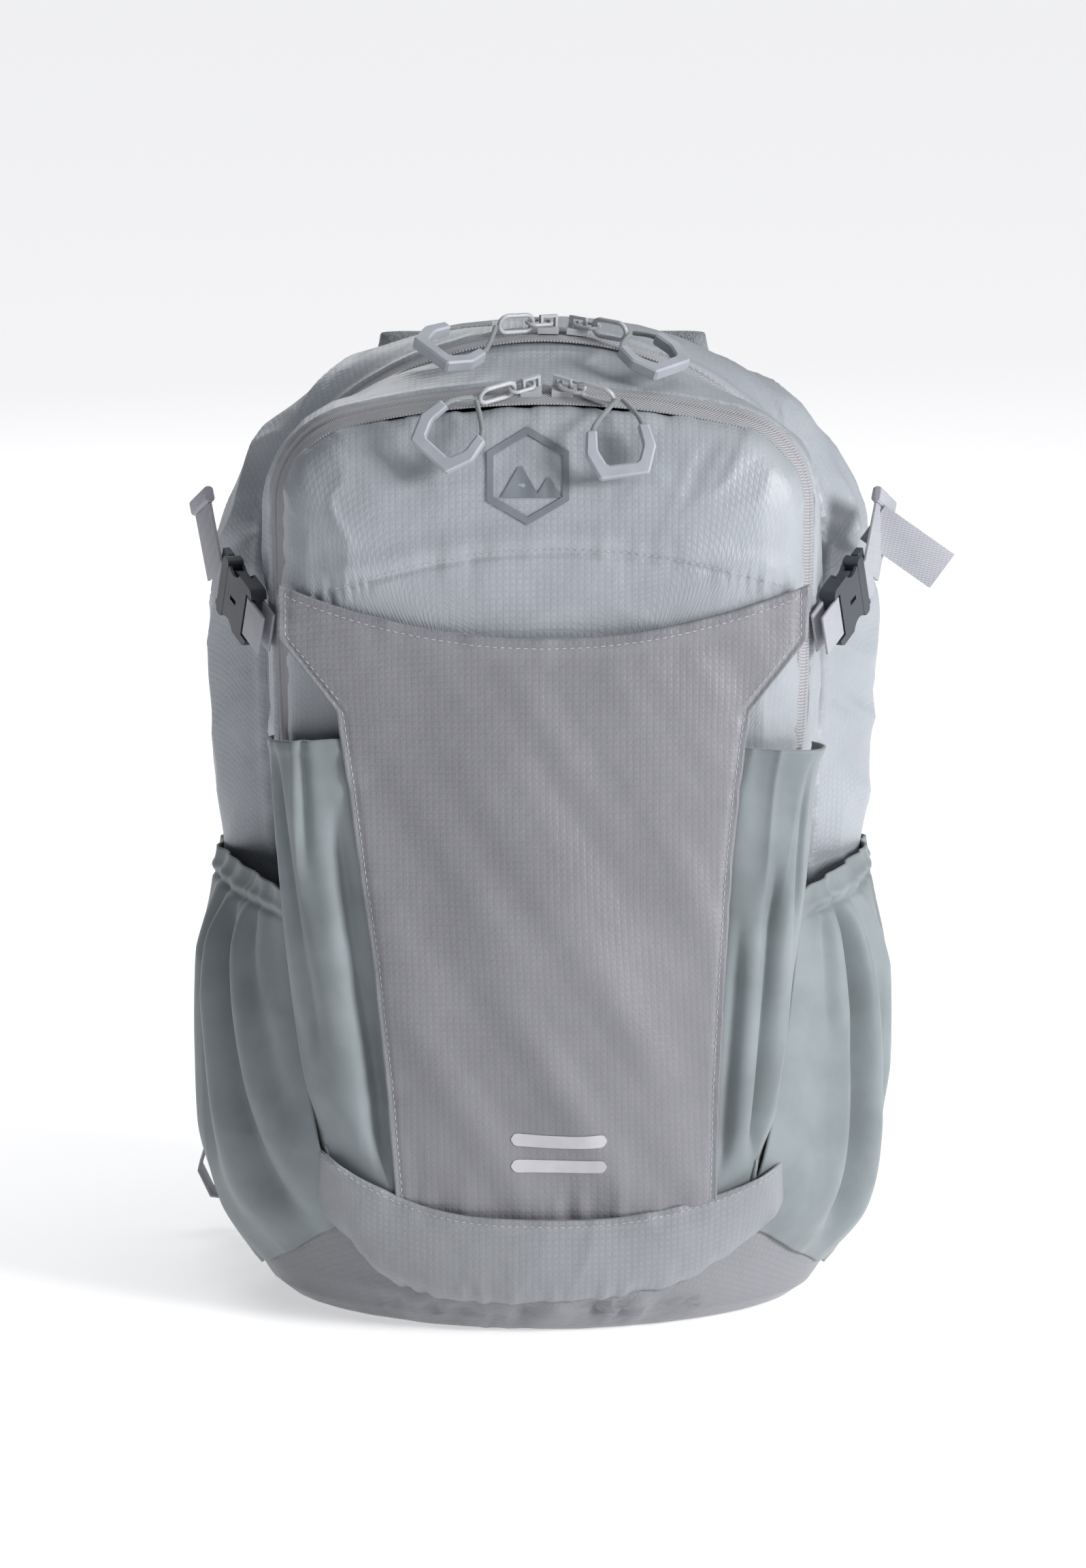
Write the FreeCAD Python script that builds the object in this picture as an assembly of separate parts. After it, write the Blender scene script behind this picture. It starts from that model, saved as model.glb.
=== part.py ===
import FreeCAD, Part
import os
from math import acos, asin, cos, degrees, pi, radians, sin, sqrt, tan

# Hiking daypack, millimetres. +Z up, -Y is the front panel, +X is right seen from the front.
# The origin is the centre of the flat bottom that the pack stands on.
os.makedirs("parts", exist_ok=True)
V = FreeCAD.Vector

# Overall form
pack_height = 470.0          # ground to the crown of the rear gusset
belly_half_width = 159.0     # widest half width of the main compartment
zip_half_width = 132.0       # half width at the main zip
front_half_width = 127.0     # half width at the front zip
back_half_width = 150.0
back_y = 80.0                # rear face of the main compartment
belly_y = 36.0
main_zip_rear_y, main_zip_front_y = 5.0, -20.0
front_zip_rear_y, front_zip_front_y = -55.0, -71.0
front_zip_top = 450.0
front_zip_drop = 6.0         # fall of the front zip's seat from its rear to its front edge
base_height = 30.0           # top of the base boot
front_face_y = -95.0         # foremost face of the front panel
cloth = 2.5                  # modelled wall of a fabric panel
divider_thickness = 2.0
panel_thickness = 3.0        # back panel
flap_thickness = 2.2         # stash panel and kick band
seam_gap = 0.3               # gap between neighbouring panels

# Zips
tape_thickness = 1.5
tape_margin = 1.0            # from the tape edge to the panels
coil_half_width, coil_height = 2.4, 1.2
zip_end_z = 214.0            # both zips end just above the side pockets
slider_gap, groove_gap = 0.35, 0.75
slider_length, slider_width, slider_height = 10.0, 8.6, 3.4
bridge_length, bridge_width, bridge_height = 9.4, 2.0, 5.6
bridge_leg, bridge_roof = 1.3, 1.3
bail_wire, ring_wire = 1.8, 2.2
bail_length, bail_width = 14.5, 8.4
bail_cant = 15.0             # degrees the bail leans, so its front edge clears the gusset
ring_length, ring_width = 20.5, 10.5
pull_cord = 2.4
grip_thickness = 6.2

# Stash pocket on the front
flap_top_z, flap_corner_z = 338.0, 360.0
flap_half_width = 123.0
panel_waist_z, panel_waist_half = 300.0, 96.0
panel_foot_half = 76.0
kick_top_z, kick_corner_z = 58.0, 86.0
kick_half_width = 104.0
gusset_top_z = 285.0

# Side pockets
pocket_slack = 4.0           # pocket's reach past the belly
pocket_half_width = belly_half_width + pocket_slack
pocket_top_z = 200.0
hem_height = 12.0
hem_thickness = 3.0
pocket_rear_gap = 7.0        # pocket's rear edge, outside the rear gusset

# Straps and hardware
webbing_width, webbing_thickness = 20.0, 1.4
buckle_half_width, buckle_half_height = 15.0, 4.0
buckle_front, buckle_mouth, buckle_end = -22.0, 8.0, 22.0
buckle_gap = 0.4
bar_width, bar_half_height, slot_width = 2.8, 1.7, 3.6
pad_thickness = 13.0
strap_thickness = 11.0
strap_y = back_y + 19.0      # middle of the webbing below the shoulder straps
haul_reach, haul_half_width = 24.0, 20.0
lower_loop_reach = {"left": 173.0, "right": 161.0}


def line(a, b):
    return Part.LineSegment(a, b).toShape()


def arc(a, b, c):
    return Part.Arc(a, b, c).toShape()


def box(x0, x1, y0, y1, z0, z1):
    return Part.makeBox(x1 - x0, y1 - y0, z1 - z0, V(x0, y0, z0))


def polygon(points):
    return Part.Face(Part.makePolygon(points + [points[0]]))


def loft(wires, ruled=False):
    return Part.makeLoft(wires, True, ruled)


def save(name, shape):
    solids = shape.Solids
    joined = solids[0] if len(solids) == 1 else Part.makeCompound(solids)
    if not solids or not joined.isValid():
        raise ValueError("bad solid in " + name)
    joined.exportStep("parts/" + name + ".step")
    volumes = sum(solid.Volume for solid in solids)
    print(f"{name}: {len(solids)} solid(s), {volumes / 1000:.2f} cm3")


# ---------------------------------------------------------------- arched outlines
class Arch:
    """Arched outline in an XZ plane: a crown arc, corner arcs, bowed sides and a flat foot."""

    def __init__(self, y, top, half, crown, corner, foot, foot_z=base_height + seam_gap):
        self.y, self.top, self.half, self.crown = y, top, half, crown
        self.corner, self.foot, self.foot_z = corner, foot, foot_z

    def inset(self, t, foot_drop=0.0):
        return Arch(self.y, self.top - t, self.half - t, self.crown - t, self.corner - t,
                    self.foot - t, self.foot_z - foot_drop)

    def at(self, y):
        return Arch(y, self.top, self.half, self.crown, self.corner, self.foot, self.foot_z)

    def centre_z(self):
        return self.top - self.crown

    def shoulder(self):
        """Corner arc's centre, and where it meets the crown."""
        reach = self.crown - self.corner
        kx = self.half - self.corner
        rise = sqrt(reach ** 2 - kx ** 2)
        scale = self.crown / reach
        return kx, self.centre_z() + rise, kx * scale, self.centre_z() + rise * scale

    def side_radius(self):
        lean = self.half - self.foot
        drop = self.shoulder()[1] - self.foot_z
        return (lean ** 2 + drop ** 2) / (2 * lean)

    def side_x(self, z):
        """Half width at height z, below the shoulder."""
        r = self.side_radius()
        return self.half - r + sqrt(r ** 2 - (self.shoulder()[1] - z) ** 2)

    def wire(self):
        kx, kz, tx, tz = self.shoulder()
        y = self.y
        ux, uz = (tx - kx) / self.corner + 1.0, (tz - kz) / self.corner
        reach = self.corner / sqrt(ux ** 2 + uz ** 2)
        cx, cz = kx + ux * reach, kz + uz * reach
        sx, sz = self.side_x((kz + self.foot_z) / 2), (kz + self.foot_z) / 2
        edges = [line(V(-self.foot, y, self.foot_z), V(self.foot, y, self.foot_z)),
                 arc(V(self.foot, y, self.foot_z), V(sx, y, sz), V(self.half, y, kz)),
                 arc(V(self.half, y, kz), V(cx, y, cz), V(tx, y, tz)),
                 arc(V(tx, y, tz), V(0, y, self.top), V(-tx, y, tz)),
                 arc(V(-tx, y, tz), V(-cx, y, cz), V(-self.half, y, kz)),
                 arc(V(-self.half, y, kz), V(-sx, y, sz), V(-self.foot, y, self.foot_z))]
        return Part.Wire(edges)

    def prism(self, y_end):
        return Part.Face(self.wire()).extrude(V(0, y_end - self.y, 0))


back = Arch(back_y, pack_height - 15, back_half_width, 195, 110, 120)
belly = Arch(belly_y, pack_height, belly_half_width, 215, 125, 126)
main_zip = Arch(main_zip_rear_y, pack_height - 1.5, zip_half_width, 152, 80, 106)
front_rear = Arch(main_zip_front_y, pack_height - 5, zip_half_width - 3, 170, 70, 102)
front_zip = Arch(front_zip_rear_y, front_zip_top, front_half_width, 400, 45, 97)
seat = tape_thickness + 0.3


def band(outer, wall):
    """Open hoop between an outline's loft and its inset, open at the foot."""
    inner = [a.inset(wall, 5.0) for a in outer]
    return loft([a.wire() for a in outer]).cut(loft([a.wire() for a in inner]))


# ---------------------------------------------------------------- main compartment
zip_floor = main_zip.inset(seat)
rear_hoop = band([main_zip, belly, back], cloth)
zip_hoop = zip_floor.at(main_zip_front_y).prism(main_zip_rear_y)
zip_hoop = zip_hoop.cut(zip_floor.inset(cloth, 5.0).at(main_zip_front_y).prism(main_zip_rear_y))
main_gusset = rear_hoop.fuse(zip_hoop)
main_gusset = main_gusset.fuse(main_zip.inset(0).prism(main_zip_rear_y + cloth).cut(
    zip_floor.inset(cloth, 5.0).prism(main_zip_rear_y + cloth)))
save("main_gusset", main_gusset)

divider_y = main_zip_front_y - seam_gap
divider = zip_floor.at(divider_y - divider_thickness).prism(divider_y)
save("divider_panel", divider)

back_panel = back.at(back_y + seam_gap).prism(back_y + seam_gap + panel_thickness)
save("back_panel", back_panel)

# ---------------------------------------------------------------- front compartment
front_start_y = divider_y - divider_thickness - seam_gap
front_floor = front_zip.inset(seat)
front_hoop = band([front_rear.at(front_start_y), front_zip], cloth)
front_seat_hoop = band([front_floor, front_floor.inset(front_zip_drop).at(front_zip_front_y)], cloth)
front_gusset = front_hoop.fuse(front_seat_hoop)
save("front_gusset", front_gusset)

dome_y = front_zip_front_y - seam_gap
front_lip = front_zip.inset(front_zip_drop)
dome_stations = [front_lip.at(dome_y),
                 Arch(dome_y - 11, front_lip.top - 5, front_lip.half - 6, 380, 48, 86),
                 Arch(dome_y - 19, front_lip.top - 25, front_lip.half - 26, 300, 52, 74),
                 Arch(front_face_y, front_lip.top - 65, front_lip.half - 58, 200, 45, 52)]
dome = loft([a.wire() for a in dome_stations])
hollow_stations = [a.inset(cloth).at(a.y + cloth + (1.0 if a.y == dome_y else 0.0))
                   for a in dome_stations]
for station in hollow_stations:
    station.foot_z = base_height + seam_gap + cloth
front_panel = dome.cut(loft([a.wire() for a in hollow_stations]))
save("front_panel", front_panel)


# ---------------------------------------------------------------- base
def plan_wire(outline, z):
    """The same outline laid flat at height z, its crown towards the front."""
    wire = outline.wire()
    wire.rotate(V(0, 0, 0), V(1, 0, 0), 90)
    wire.translate(V(0, 0, z - wire.BoundBox.ZMin))
    return wire


def plan(front, half, crown, corner, rear_half):
    return Arch(0.0, front, half, crown, corner, rear_half, -back_y)


boot_plans = [(0.0, plan(78, 112, 150, 60, 92)), (9.0, plan(92, 130, 165, 60, 108)),
              (base_height, plan(98, 142, 165, 62, 122))]
boot_outer = loft([plan_wire(p, z) for z, p in boot_plans])
boot_inner = loft([plan_wire(p.inset(cloth + 0.5, -cloth - 0.5), z + (cloth if z == 0 else 0.0))
                   for z, p in boot_plans])
base_boot = boot_outer.cut(boot_inner)
save("base_boot", base_boot)
board = plan(68, 102, 140, 52, 84)
board.foot_z = -back_y + 12
base_board = Part.Face(plan_wire(board, cloth + 0.4)).extrude(V(0, 0, 3.0))
save("base_board", base_board)


# ---------------------------------------------------------------- curved sheets
def circle_centre(a, b, c):
    d = 2 * (a[0] * (b[1] - c[1]) + b[0] * (c[1] - a[1]) + c[0] * (a[1] - b[1]))
    sa, sb, sc = (p[0] ** 2 + p[1] ** 2 for p in (a, b, c))
    return ((sa * (b[1] - c[1]) + sb * (c[1] - a[1]) + sc * (a[1] - b[1])) / d,
            (sa * (c[0] - b[0]) + sb * (a[0] - c[0]) + sc * (b[0] - a[0])) / d)


def sheet_wire(a, b, c, z, thickness):
    """Arc-shaped strip at height z through plan points a, b, c, thickened towards its centre."""
    mx, my = circle_centre(a, b, c)
    radius = sqrt((a[0] - mx) ** 2 + (a[1] - my) ** 2)
    k = 1 - thickness / radius
    inner = [(mx + (p[0] - mx) * k, my + (p[1] - my) * k) for p in (a, b, c)]
    outer = [V(p[0], p[1], z) for p in (a, b, c)]
    inner = [V(p[0], p[1], z) for p in inner]
    return Part.Wire([arc(*outer), line(outer[2], inner[2]), arc(*reversed(inner)),
                      line(inner[0], outer[0])])


def front_sheet(rows, thickness):
    """Sheet across the front: rows of height, half width, centre y, edge y."""
    return loft([sheet_wire((-half, edge), (0, centre), (half, edge), z, thickness)
                 for z, half, centre, edge in rows], ruled=True)


def trim_above(shape, centre_z, corner_z, half):
    """Cut a sagging top edge: centre_z in the middle, corner_z at the half width."""
    sag = corner_z - centre_z
    radius = (half ** 2 + sag ** 2) / (2 * sag)
    return shape.cut(Part.makeCylinder(radius, 300, V(0, -250, centre_z + radius), V(0, 1, 0)))


panel_rows = [(62, panel_foot_half, -101, -97), (90, panel_foot_half + 2, -104, -98.5),
              (120, panel_foot_half + 4, -108, -100),
              (180, 85, -110, -100.5), (240, 90, -109, -99.5),
              (panel_waist_z, panel_waist_half, -106.5, -98), (335, 118, -103.5, -91),
              (flap_corner_z + 2, flap_half_width + 1, -102, -86)]
stash_panel = trim_above(front_sheet(panel_rows, flap_thickness), flap_top_z, flap_corner_z,
                         flap_half_width)
save("stash_panel", stash_panel)

kick_rows = [(base_height + seam_gap, 86, -104, -90), (58, 97, -108, -93.5),
             (kick_corner_z + 1, kick_half_width, -110.5, -93)]
kick_band = trim_above(front_sheet(kick_rows, flap_thickness), kick_top_z, kick_corner_z,
                       kick_half_width)
save("kick_band", kick_band)


def side_sheet(side, rows, thickness):
    """Sheet on one flank: rows of height and three plan points, mirrored for the left."""
    wires = []
    for z, a, b, c in rows:
        points = [(side * p[0], p[1]) for p in (a, b, c)]
        wires.append(sheet_wire(points[0], points[1], points[2], z, thickness))
    return loft(wires)


sides = [("left", -1), ("right", 1)]
for name, side in sides:
    gusset_rows = [(z, (inner, -97.2), (front_zip.side_x(z) - 5.0, -89.5),
                    (front_zip.side_x(z) + 2.2, -73))
                   for z, inner in [(kick_corner_z + 2, 84), (180, 90), (gusset_top_z, 96)]]
    save("stretch_gusset_" + name, side_sheet(side, gusset_rows, 1.6))

    pocket_rows = []
    for z, reach in [(base_height + seam_gap, 147), (60, pocket_half_width - 5), (120, pocket_half_width),
                     (pocket_top_z, pocket_half_width - 1.5)]:
        pocket_rows.append((z, (front_zip.side_x(z) + 3.0, -52), (reach, 12),
                            (back.side_x(z) + pocket_rear_gap, back_y - 1)))
    wall = side_sheet(side, pocket_rows, 2.0)
    save("side_pocket_" + name, wall)
    top = pocket_rows[-1]
    hem_low = (pocket_top_z + seam_gap, (top[1][0] + 0.5, top[1][1]), (top[2][0] + 0.6, 12), top[3])
    hem_high = (hem_low[0] + hem_height, (top[1][0] + 1.5, top[1][1]), (top[2][0] - 1.0, 12),
                top[3])
    save("pocket_hem_" + name, side_sheet(side, [hem_low, hem_high], hem_thickness))


# ---------------------------------------------------------------- zip tracks
def zip_track(rear, front):
    """Tape hoop on its seat with the raised coil along its middle, cut off above the pockets."""
    span = rear.y - front.y
    slope = (rear.half - front.half) / span
    tape_rear = rear.inset(slope * tape_margin).at(rear.y - tape_margin)
    tape_front = rear.inset(slope * (span - tape_margin)).at(front.y + tape_margin)
    tape = loft([a.wire() for a in (tape_rear, tape_front)])
    tape = tape.cut(loft([a.inset(tape_thickness, 5.0).wire() for a in (tape_rear, tape_front)]))
    coil_ends = [rear.inset(slope * (span / 2 - offset) - coil_height).at(rear.y - span / 2 + offset)
                 for offset in (coil_half_width, -coil_half_width)]
    coil = loft([a.wire() for a in coil_ends])
    coil = coil.cut(loft([a.inset(coil_height + 0.6, 5.0).wire() for a in coil_ends]))
    track = tape.fuse(coil)
    return track.cut(box(-300, 300, -300, 300, -10, zip_end_z))


save("main_zip_track", zip_track(main_zip, main_zip.at(main_zip_front_y)))
save("front_zip_track", zip_track(front_zip, front_lip.at(front_zip_front_y)))


# ---------------------------------------------------------------- local frames
def placed(shape, origin, x_axis, y_axis):
    """Move a shape from its own frame to an origin with the given x and y directions."""
    x = V(x_axis).normalize()
    z = x.cross(V(y_axis)).normalize()
    y = z.cross(x)
    matrix = FreeCAD.Matrix(x.x, y.x, z.x, origin.x, x.y, y.y, z.y, origin.y,
                            x.z, y.z, z.z, origin.z, 0, 0, 0, 1)
    return shape.transformed(matrix)


def sweep(path, radius):
    """Round tube along a tangent path."""
    start = path.OrderedEdges[0]
    point = start.valueAt(start.FirstParameter)
    tangent = start.tangentAt(start.FirstParameter)
    ring = Part.Wire([Part.Circle(point, tangent, radius).toShape()])
    pipe = Part.BRepOffsetAPI.MakePipeShell(path)
    pipe.add(ring)
    pipe.build()
    pipe.makeSolid()
    return pipe.shape()


def link(length, width, wire):
    """Round-wire link in its XY plane, its near end's wire centred on x = 0."""
    run, r = length - width, (width - wire) / 2
    near, far = V(r, 0, 0), V(r + run, 0, 0)
    turns = [Part.makeTorus(r, wire / 2, near, V(0, 0, 1), 0, 360, 180),
             Part.makeTorus(r, wire / 2, far, V(0, 0, 1), 0, 360, 180)]
    turns[0].rotate(near, V(0, 0, 1), 90)
    turns[1].rotate(far, V(0, 0, 1), -90)
    body = turns[0].fuse(turns[1])
    for y in (-r, r):
        body = body.fuse(Part.makeCylinder(wire / 2, run, V(r, y, 0), V(1, 0, 0)))
    return body


def cord_path(points):
    """Straight runs joined by tangent arcs, each as large as its two runs allow."""
    edges, radii, start = [], [], points[0]
    for before, here, after in zip(points, points[1:], points[2:]):
        u, w = (before - here), (after - here)
        shorter = min(u.Length, w.Length)
        u.normalize()
        w.normalize()
        half_turn = (radians(180) - u.getAngle(w)) / 2
        cut = 0.45 * shorter
        radii.append(cut / tan(half_turn))
        a, c = here + u * cut, here + w * cut
        bisector = (u + w).normalize()
        middle = here + bisector * (radii[-1] / cos(half_turn) - radii[-1])
        edges += [line(start, a), arc(a, middle, c)]
        start = c
    edges.append(line(start, points[-1]))
    return Part.Wire(edges), radii


# ---------------------------------------------------------------- zip pulls
grip_outer = [(-14.5, 12), (-16.5, 1), (-11.5, -11.5), (11.5, -11.5), (16.5, 1), (14.5, 12)]
grip_inner = [(9.5, 12), (10.6, 2.2), (7.3, -5.5), (-7.3, -5.5), (-10.6, 2.2), (-9.5, 12)]
grip_shape = polygon([V(x, y, -grip_thickness / 2) for x, y in grip_outer + grip_inner])
grip_shape = grip_shape.extrude(V(0, 0, grip_thickness))
grip_shape = grip_shape.makeChamfer(0.9, grip_shape.Edges)
hole_z = slider_height + (bridge_height - bridge_roof) / 2

# Each pull: zip, slider's x, which way it lies, its turn towards the front, and its grip:
# centre, direction from the grip to its knot, and the way its flat side faces.
pulls = {
    "main_left": (main_zip, 0.0, 2.5, -1, 32, V(-45, -46, 466), V(24, 22, 9), V(0.2, -0.45, 0.9)),
    "main_right": (main_zip, 0.0, 16.0, 1, 34, V(53, -47, 462), V(-22, 20, 10), V(0.25, -0.45, 0.9)),
    "front_left": (front_zip, front_zip_drop, -5.5, -1, 30, V(-45, -97, 430), V(19, 6, 19),
                   V(-0.1, -0.93, 0.35)),
    "front_right": (front_zip, front_zip_drop, 9.0, 1, 30, V(36, -98, 424), V(-4, 8, 26),
                    V(0.05, -0.93, 0.35)),
}


def make_pull(name, arch, drop, slider_x, way, turn, grip_at, grip_up, grip_face):
    rear_y = arch.y
    front_y = main_zip_front_y if drop == 0 else front_zip_front_y
    slope = drop / (rear_y - front_y)
    tilt = degrees(acos(1 / sqrt(1 + slope ** 2)))
    mid_y = (rear_y + front_y) / 2
    surface_z = arch.top - drop / 2
    hub = V(0, mid_y, arch.centre_z())
    radius = surface_z - hub.z
    angle = degrees(asin(slider_x / radius))

    def seated(shape):
        shape.rotate(V(0, 0, 0), V(1, 0, 0), tilt)
        shape.translate(V(0, mid_y, surface_z))
        return shape

    half_w, groove, low = slider_width / 2, coil_half_width + groove_gap, slider_gap
    profile = [(-half_w, low), (-half_w, slider_height), (half_w, slider_height), (half_w, low),
               (groove, low), (groove, coil_height + low), (-groove, coil_height + low),
               (-groove, low)]
    body = polygon([V(-slider_length / 2, y, z) for y, z in profile]).extrude(V(slider_length, 0, 0))
    half_b = bridge_length / 2
    bridge = box(-half_b, half_b, -bridge_width / 2, bridge_width / 2,
                 slider_height - 0.3, slider_height + bridge_height)
    bridge = bridge.cut(box(-half_b + bridge_leg, half_b - bridge_leg, -bridge_width,
                            bridge_width, slider_height, slider_height + bridge_height - bridge_roof))
    bridge.rotate(V(0, 0, 0), V(0, 0, 1), -way * turn)
    body = seated(body.fuse(bridge))

    # Directions of the chain: along the bail, across it, and square to it.
    along = V(way * cos(radians(turn)), -sin(radians(turn)), 0)
    across = V(way * sin(radians(turn)), cos(radians(turn)), 0)
    cant = radians(bail_cant)
    across = across * cos(cant) + V(0, 0, 1) * sin(cant)
    square = along.cross(across) * way
    start = V(0, 0, hole_z) - along * 1.2
    bail = placed(link(bail_length, bail_width, bail_wire), start, along, across)
    ring_start = start + along * (bail_length - bail_wire - bail_wire / 2 - ring_wire / 2 - 0.5)
    ring = placed(link(ring_length, ring_width, ring_wire), ring_start, along, square)
    knot = ring_start + along * (ring_length - ring_wire / 2 + pull_cord / 2 + 0.9)
    bail, ring = seated(bail), seated(ring)
    for piece in (body, bail, ring):
        piece.rotate(hub, V(0, 1, 0), angle)
    tilted = FreeCAD.Rotation(V(1, 0, 0), tilt).multVec(knot) + V(0, mid_y, surface_z) - hub
    knot = hub + FreeCAD.Rotation(V(0, 1, 0), angle).multVec(tilted)

    up = V(grip_up)
    face_n = V(grip_face).normalize()
    up = (up - face_n * up.dot(face_n)).normalize()
    wide = up.cross(face_n)
    grip = placed(grip_shape.copy(), grip_at, wide, up)

    def on_grip(x, y):
        return grip_at + wide * x + up * y

    side_a, side_b = on_grip(12, 12.5), on_grip(-12, 12.5)
    points = [knot + wide * 1.4, (knot + side_a) * 0.5 + wide * 1.8, side_a, on_grip(13.4, 1.4),
              on_grip(9.3, -8.3), on_grip(-9.3, -8.3), on_grip(-13.4, 1.4), side_b,
              (knot + side_b) * 0.5 - wide * 1.8, knot - wide * 1.4]
    path, radii = cord_path(points)
    cord = sweep(path, pull_cord / 2)
    section = pi * pull_cord ** 2 / 4
    print(name, "cord length", round(path.Length, 1), "volume ratio",
          round(cord.Volume / (section * path.Length), 3), "radii", [round(r, 1) for r in radii])
    save("zip_slider_" + name, body)
    save("zip_bail_" + name, bail)
    save("pull_ring_" + name, ring)
    save("pull_cord_" + name, cord)
    save("pull_grip_" + name, grip)


for pull_name, spec in pulls.items():
    make_pull(pull_name, *spec)


# ---------------------------------------------------------------- back panel, pads and frame
pad_y = back_y + seam_gap + panel_thickness + seam_gap
for name, side in sides:
    pad = box(min(side * 14, side * 96), max(side * 14, side * 96), pad_y, pad_y + pad_thickness,
              118, 412)
    save("back_pad_" + name, pad.makeFillet(6, pad.Edges))
lumbar = box(-98, 98, pad_y, pad_y + pad_thickness + 3, 44, 108)
save("lumbar_pad", lumbar.makeFillet(7, lumbar.Edges))

frame_half, frame_top, frame_thickness, sheet_gap = 104.0, 400.0, 1.6, 1.0
frame_y = back_y - sheet_gap - frame_thickness
frame_sheet = box(-frame_half, frame_half, frame_y, back_y - sheet_gap, base_height + 4, frame_top)
save("frame_sheet", frame_sheet)
sleeve_depth, sleeve_top = 22.0, 300.0
sleeve_y = frame_y - 0.4
sleeve = box(-frame_half, frame_half, sleeve_y - sleeve_depth, sleeve_y, base_height + 6, sleeve_top)
sleeve = sleeve.cut(box(-frame_half + 2, frame_half - 2, sleeve_y - sleeve_depth + 2, sleeve_y - 1.5,
                        base_height + 8, sleeve_top + 10))
save("laptop_sleeve", sleeve)


# ---------------------------------------------------------------- straps
def ribbon(points, thickness, width, width_axis):
    """Flat strip through points in a plane square to width_axis, mitred at its turns."""
    axis = V(width_axis).normalize()
    left, right = [], []
    for i, here in enumerate(points):
        run_in = (here - points[i - 1]).normalize() if i else None
        run_out = (points[i + 1] - here).normalize() if i < len(points) - 1 else None
        first = run_in or run_out
        second = run_out or run_in
        bend = (first + second).normalize()
        out = axis.cross(bend).normalize() * (thickness / 2 / max(0.3, bend.dot(first)))
        left.append(here + out)
        right.append(here - out)
    face = polygon([p - axis * (width / 2) for p in left + right[::-1]])
    return face.extrude(axis * width)


def strap_section(centre, along, width, thickness):
    side_axis = V(1, 0, 0)
    normal = V(along).normalize().cross(side_axis).normalize()
    corners = [(-1, -1), (1, -1), (1, 1), (-1, 1)]
    points = [centre + side_axis * (a * width / 2) + normal * (b * thickness / 2) for a, b in corners]
    return Part.makePolygon(points + [points[0]])


strap_route = [(52, 91, 440, 54), (52, 100, 452, 56), (54, 111, 449, 58), (58, 118, 428, 60),
               (66, 119, 380, 60), (78, 118, 310, 58), (92, 116, 240, 52), (104, 113, 180, 44)]
lock_width, lock_length = 28.0, 24.0
anchor_thickness, anchor_z = 2.8, 14.6
anchors = []
for name, side in sides:
    centres = [V(side * x, y, z) for x, y, z, w in strap_route]
    wires = []
    for i, (x, y, z, w) in enumerate(strap_route):
        before, after = centres[max(i - 1, 0)], centres[min(i + 1, len(centres) - 1)]
        wires.append(strap_section(centres[i], V(0, after.y - before.y, after.z - before.z), w,
                                   strap_thickness))
    save("shoulder_strap_" + name, loft(wires, ruled=True))

    # Ladder lock under the strap's end, and the webbing that runs through it to the base.
    end = centres[-1]
    down = V(side * 0.22, -0.1, -1).normalize()
    lock_at = end + down * (lock_length / 2 + 5.0)
    lock = box(-lock_length / 2, lock_length / 2, -lock_width / 2, lock_width / 2, -2.0, 2.0)
    for x0, x1 in ((-9.5, -5.0), (-1.6, 3.0), (6.4, 9.6)):
        lock = lock.cut(box(x0, x1, -webbing_width / 2 - 1, webbing_width / 2 + 1, -5, 5))
    lock = placed(lock, lock_at, down, V(1, 0, 0))
    save("ladder_lock_" + name, lock)
    low = lock_at + down * (lock_length / 2 + 1)
    reach = lower_loop_reach[name]
    lower_run = [V(low.x, 0, low.z), V(side * (reach - 24), 0, 84), V(side * (reach - 5), 0, 50),
                 V(side * reach, 0, 34), V(side * (reach - 6), 0, 21), V(side * 130, 0, 16)]
    lower = ribbon(lower_run, webbing_thickness, webbing_width, V(0, 1, 0))
    lower.translate(V(0, strap_y, 0))
    save("strap_webbing_" + name, lower)

    # Sewn tab that carries the webbing's end from the base boot's rear corner.
    half_web = webbing_width / 2
    tab = [(86, back_y + 0.4), (112, back_y + 0.4), (129.3, strap_y - half_web),
           (129.3, strap_y + half_web)]
    tab = polygon([V(side * x, y, anchor_z) for x, y in tab])
    anchors.append(tab.extrude(V(0, 0, anchor_thickness)))
save("strap_anchors", Part.makeCompound(anchors))

haul_y = back_y + seam_gap + panel_thickness + 0.4
haul_z = 432.0
outer = [V(-haul_half_width, haul_y, haul_z), V(-haul_half_width, haul_y + 16, haul_z),
         V(-haul_half_width + 8, haul_y + haul_reach, haul_z),
         V(haul_half_width - 8, haul_y + haul_reach, haul_z),
         V(haul_half_width, haul_y + 16, haul_z), V(haul_half_width, haul_y, haul_z)]
save("haul_loop", ribbon(outer, 3.0, webbing_width, V(0, 0, 1)))


# ---------------------------------------------------------------- buckles
def round_corners(body, radius):
    """Round the edges that run through the thickness."""
    upright = [e for e in body.Edges if abs(e.tangentAt(e.FirstParameter).z) > 0.9]
    return body.makeFillet(radius, upright)


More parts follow.
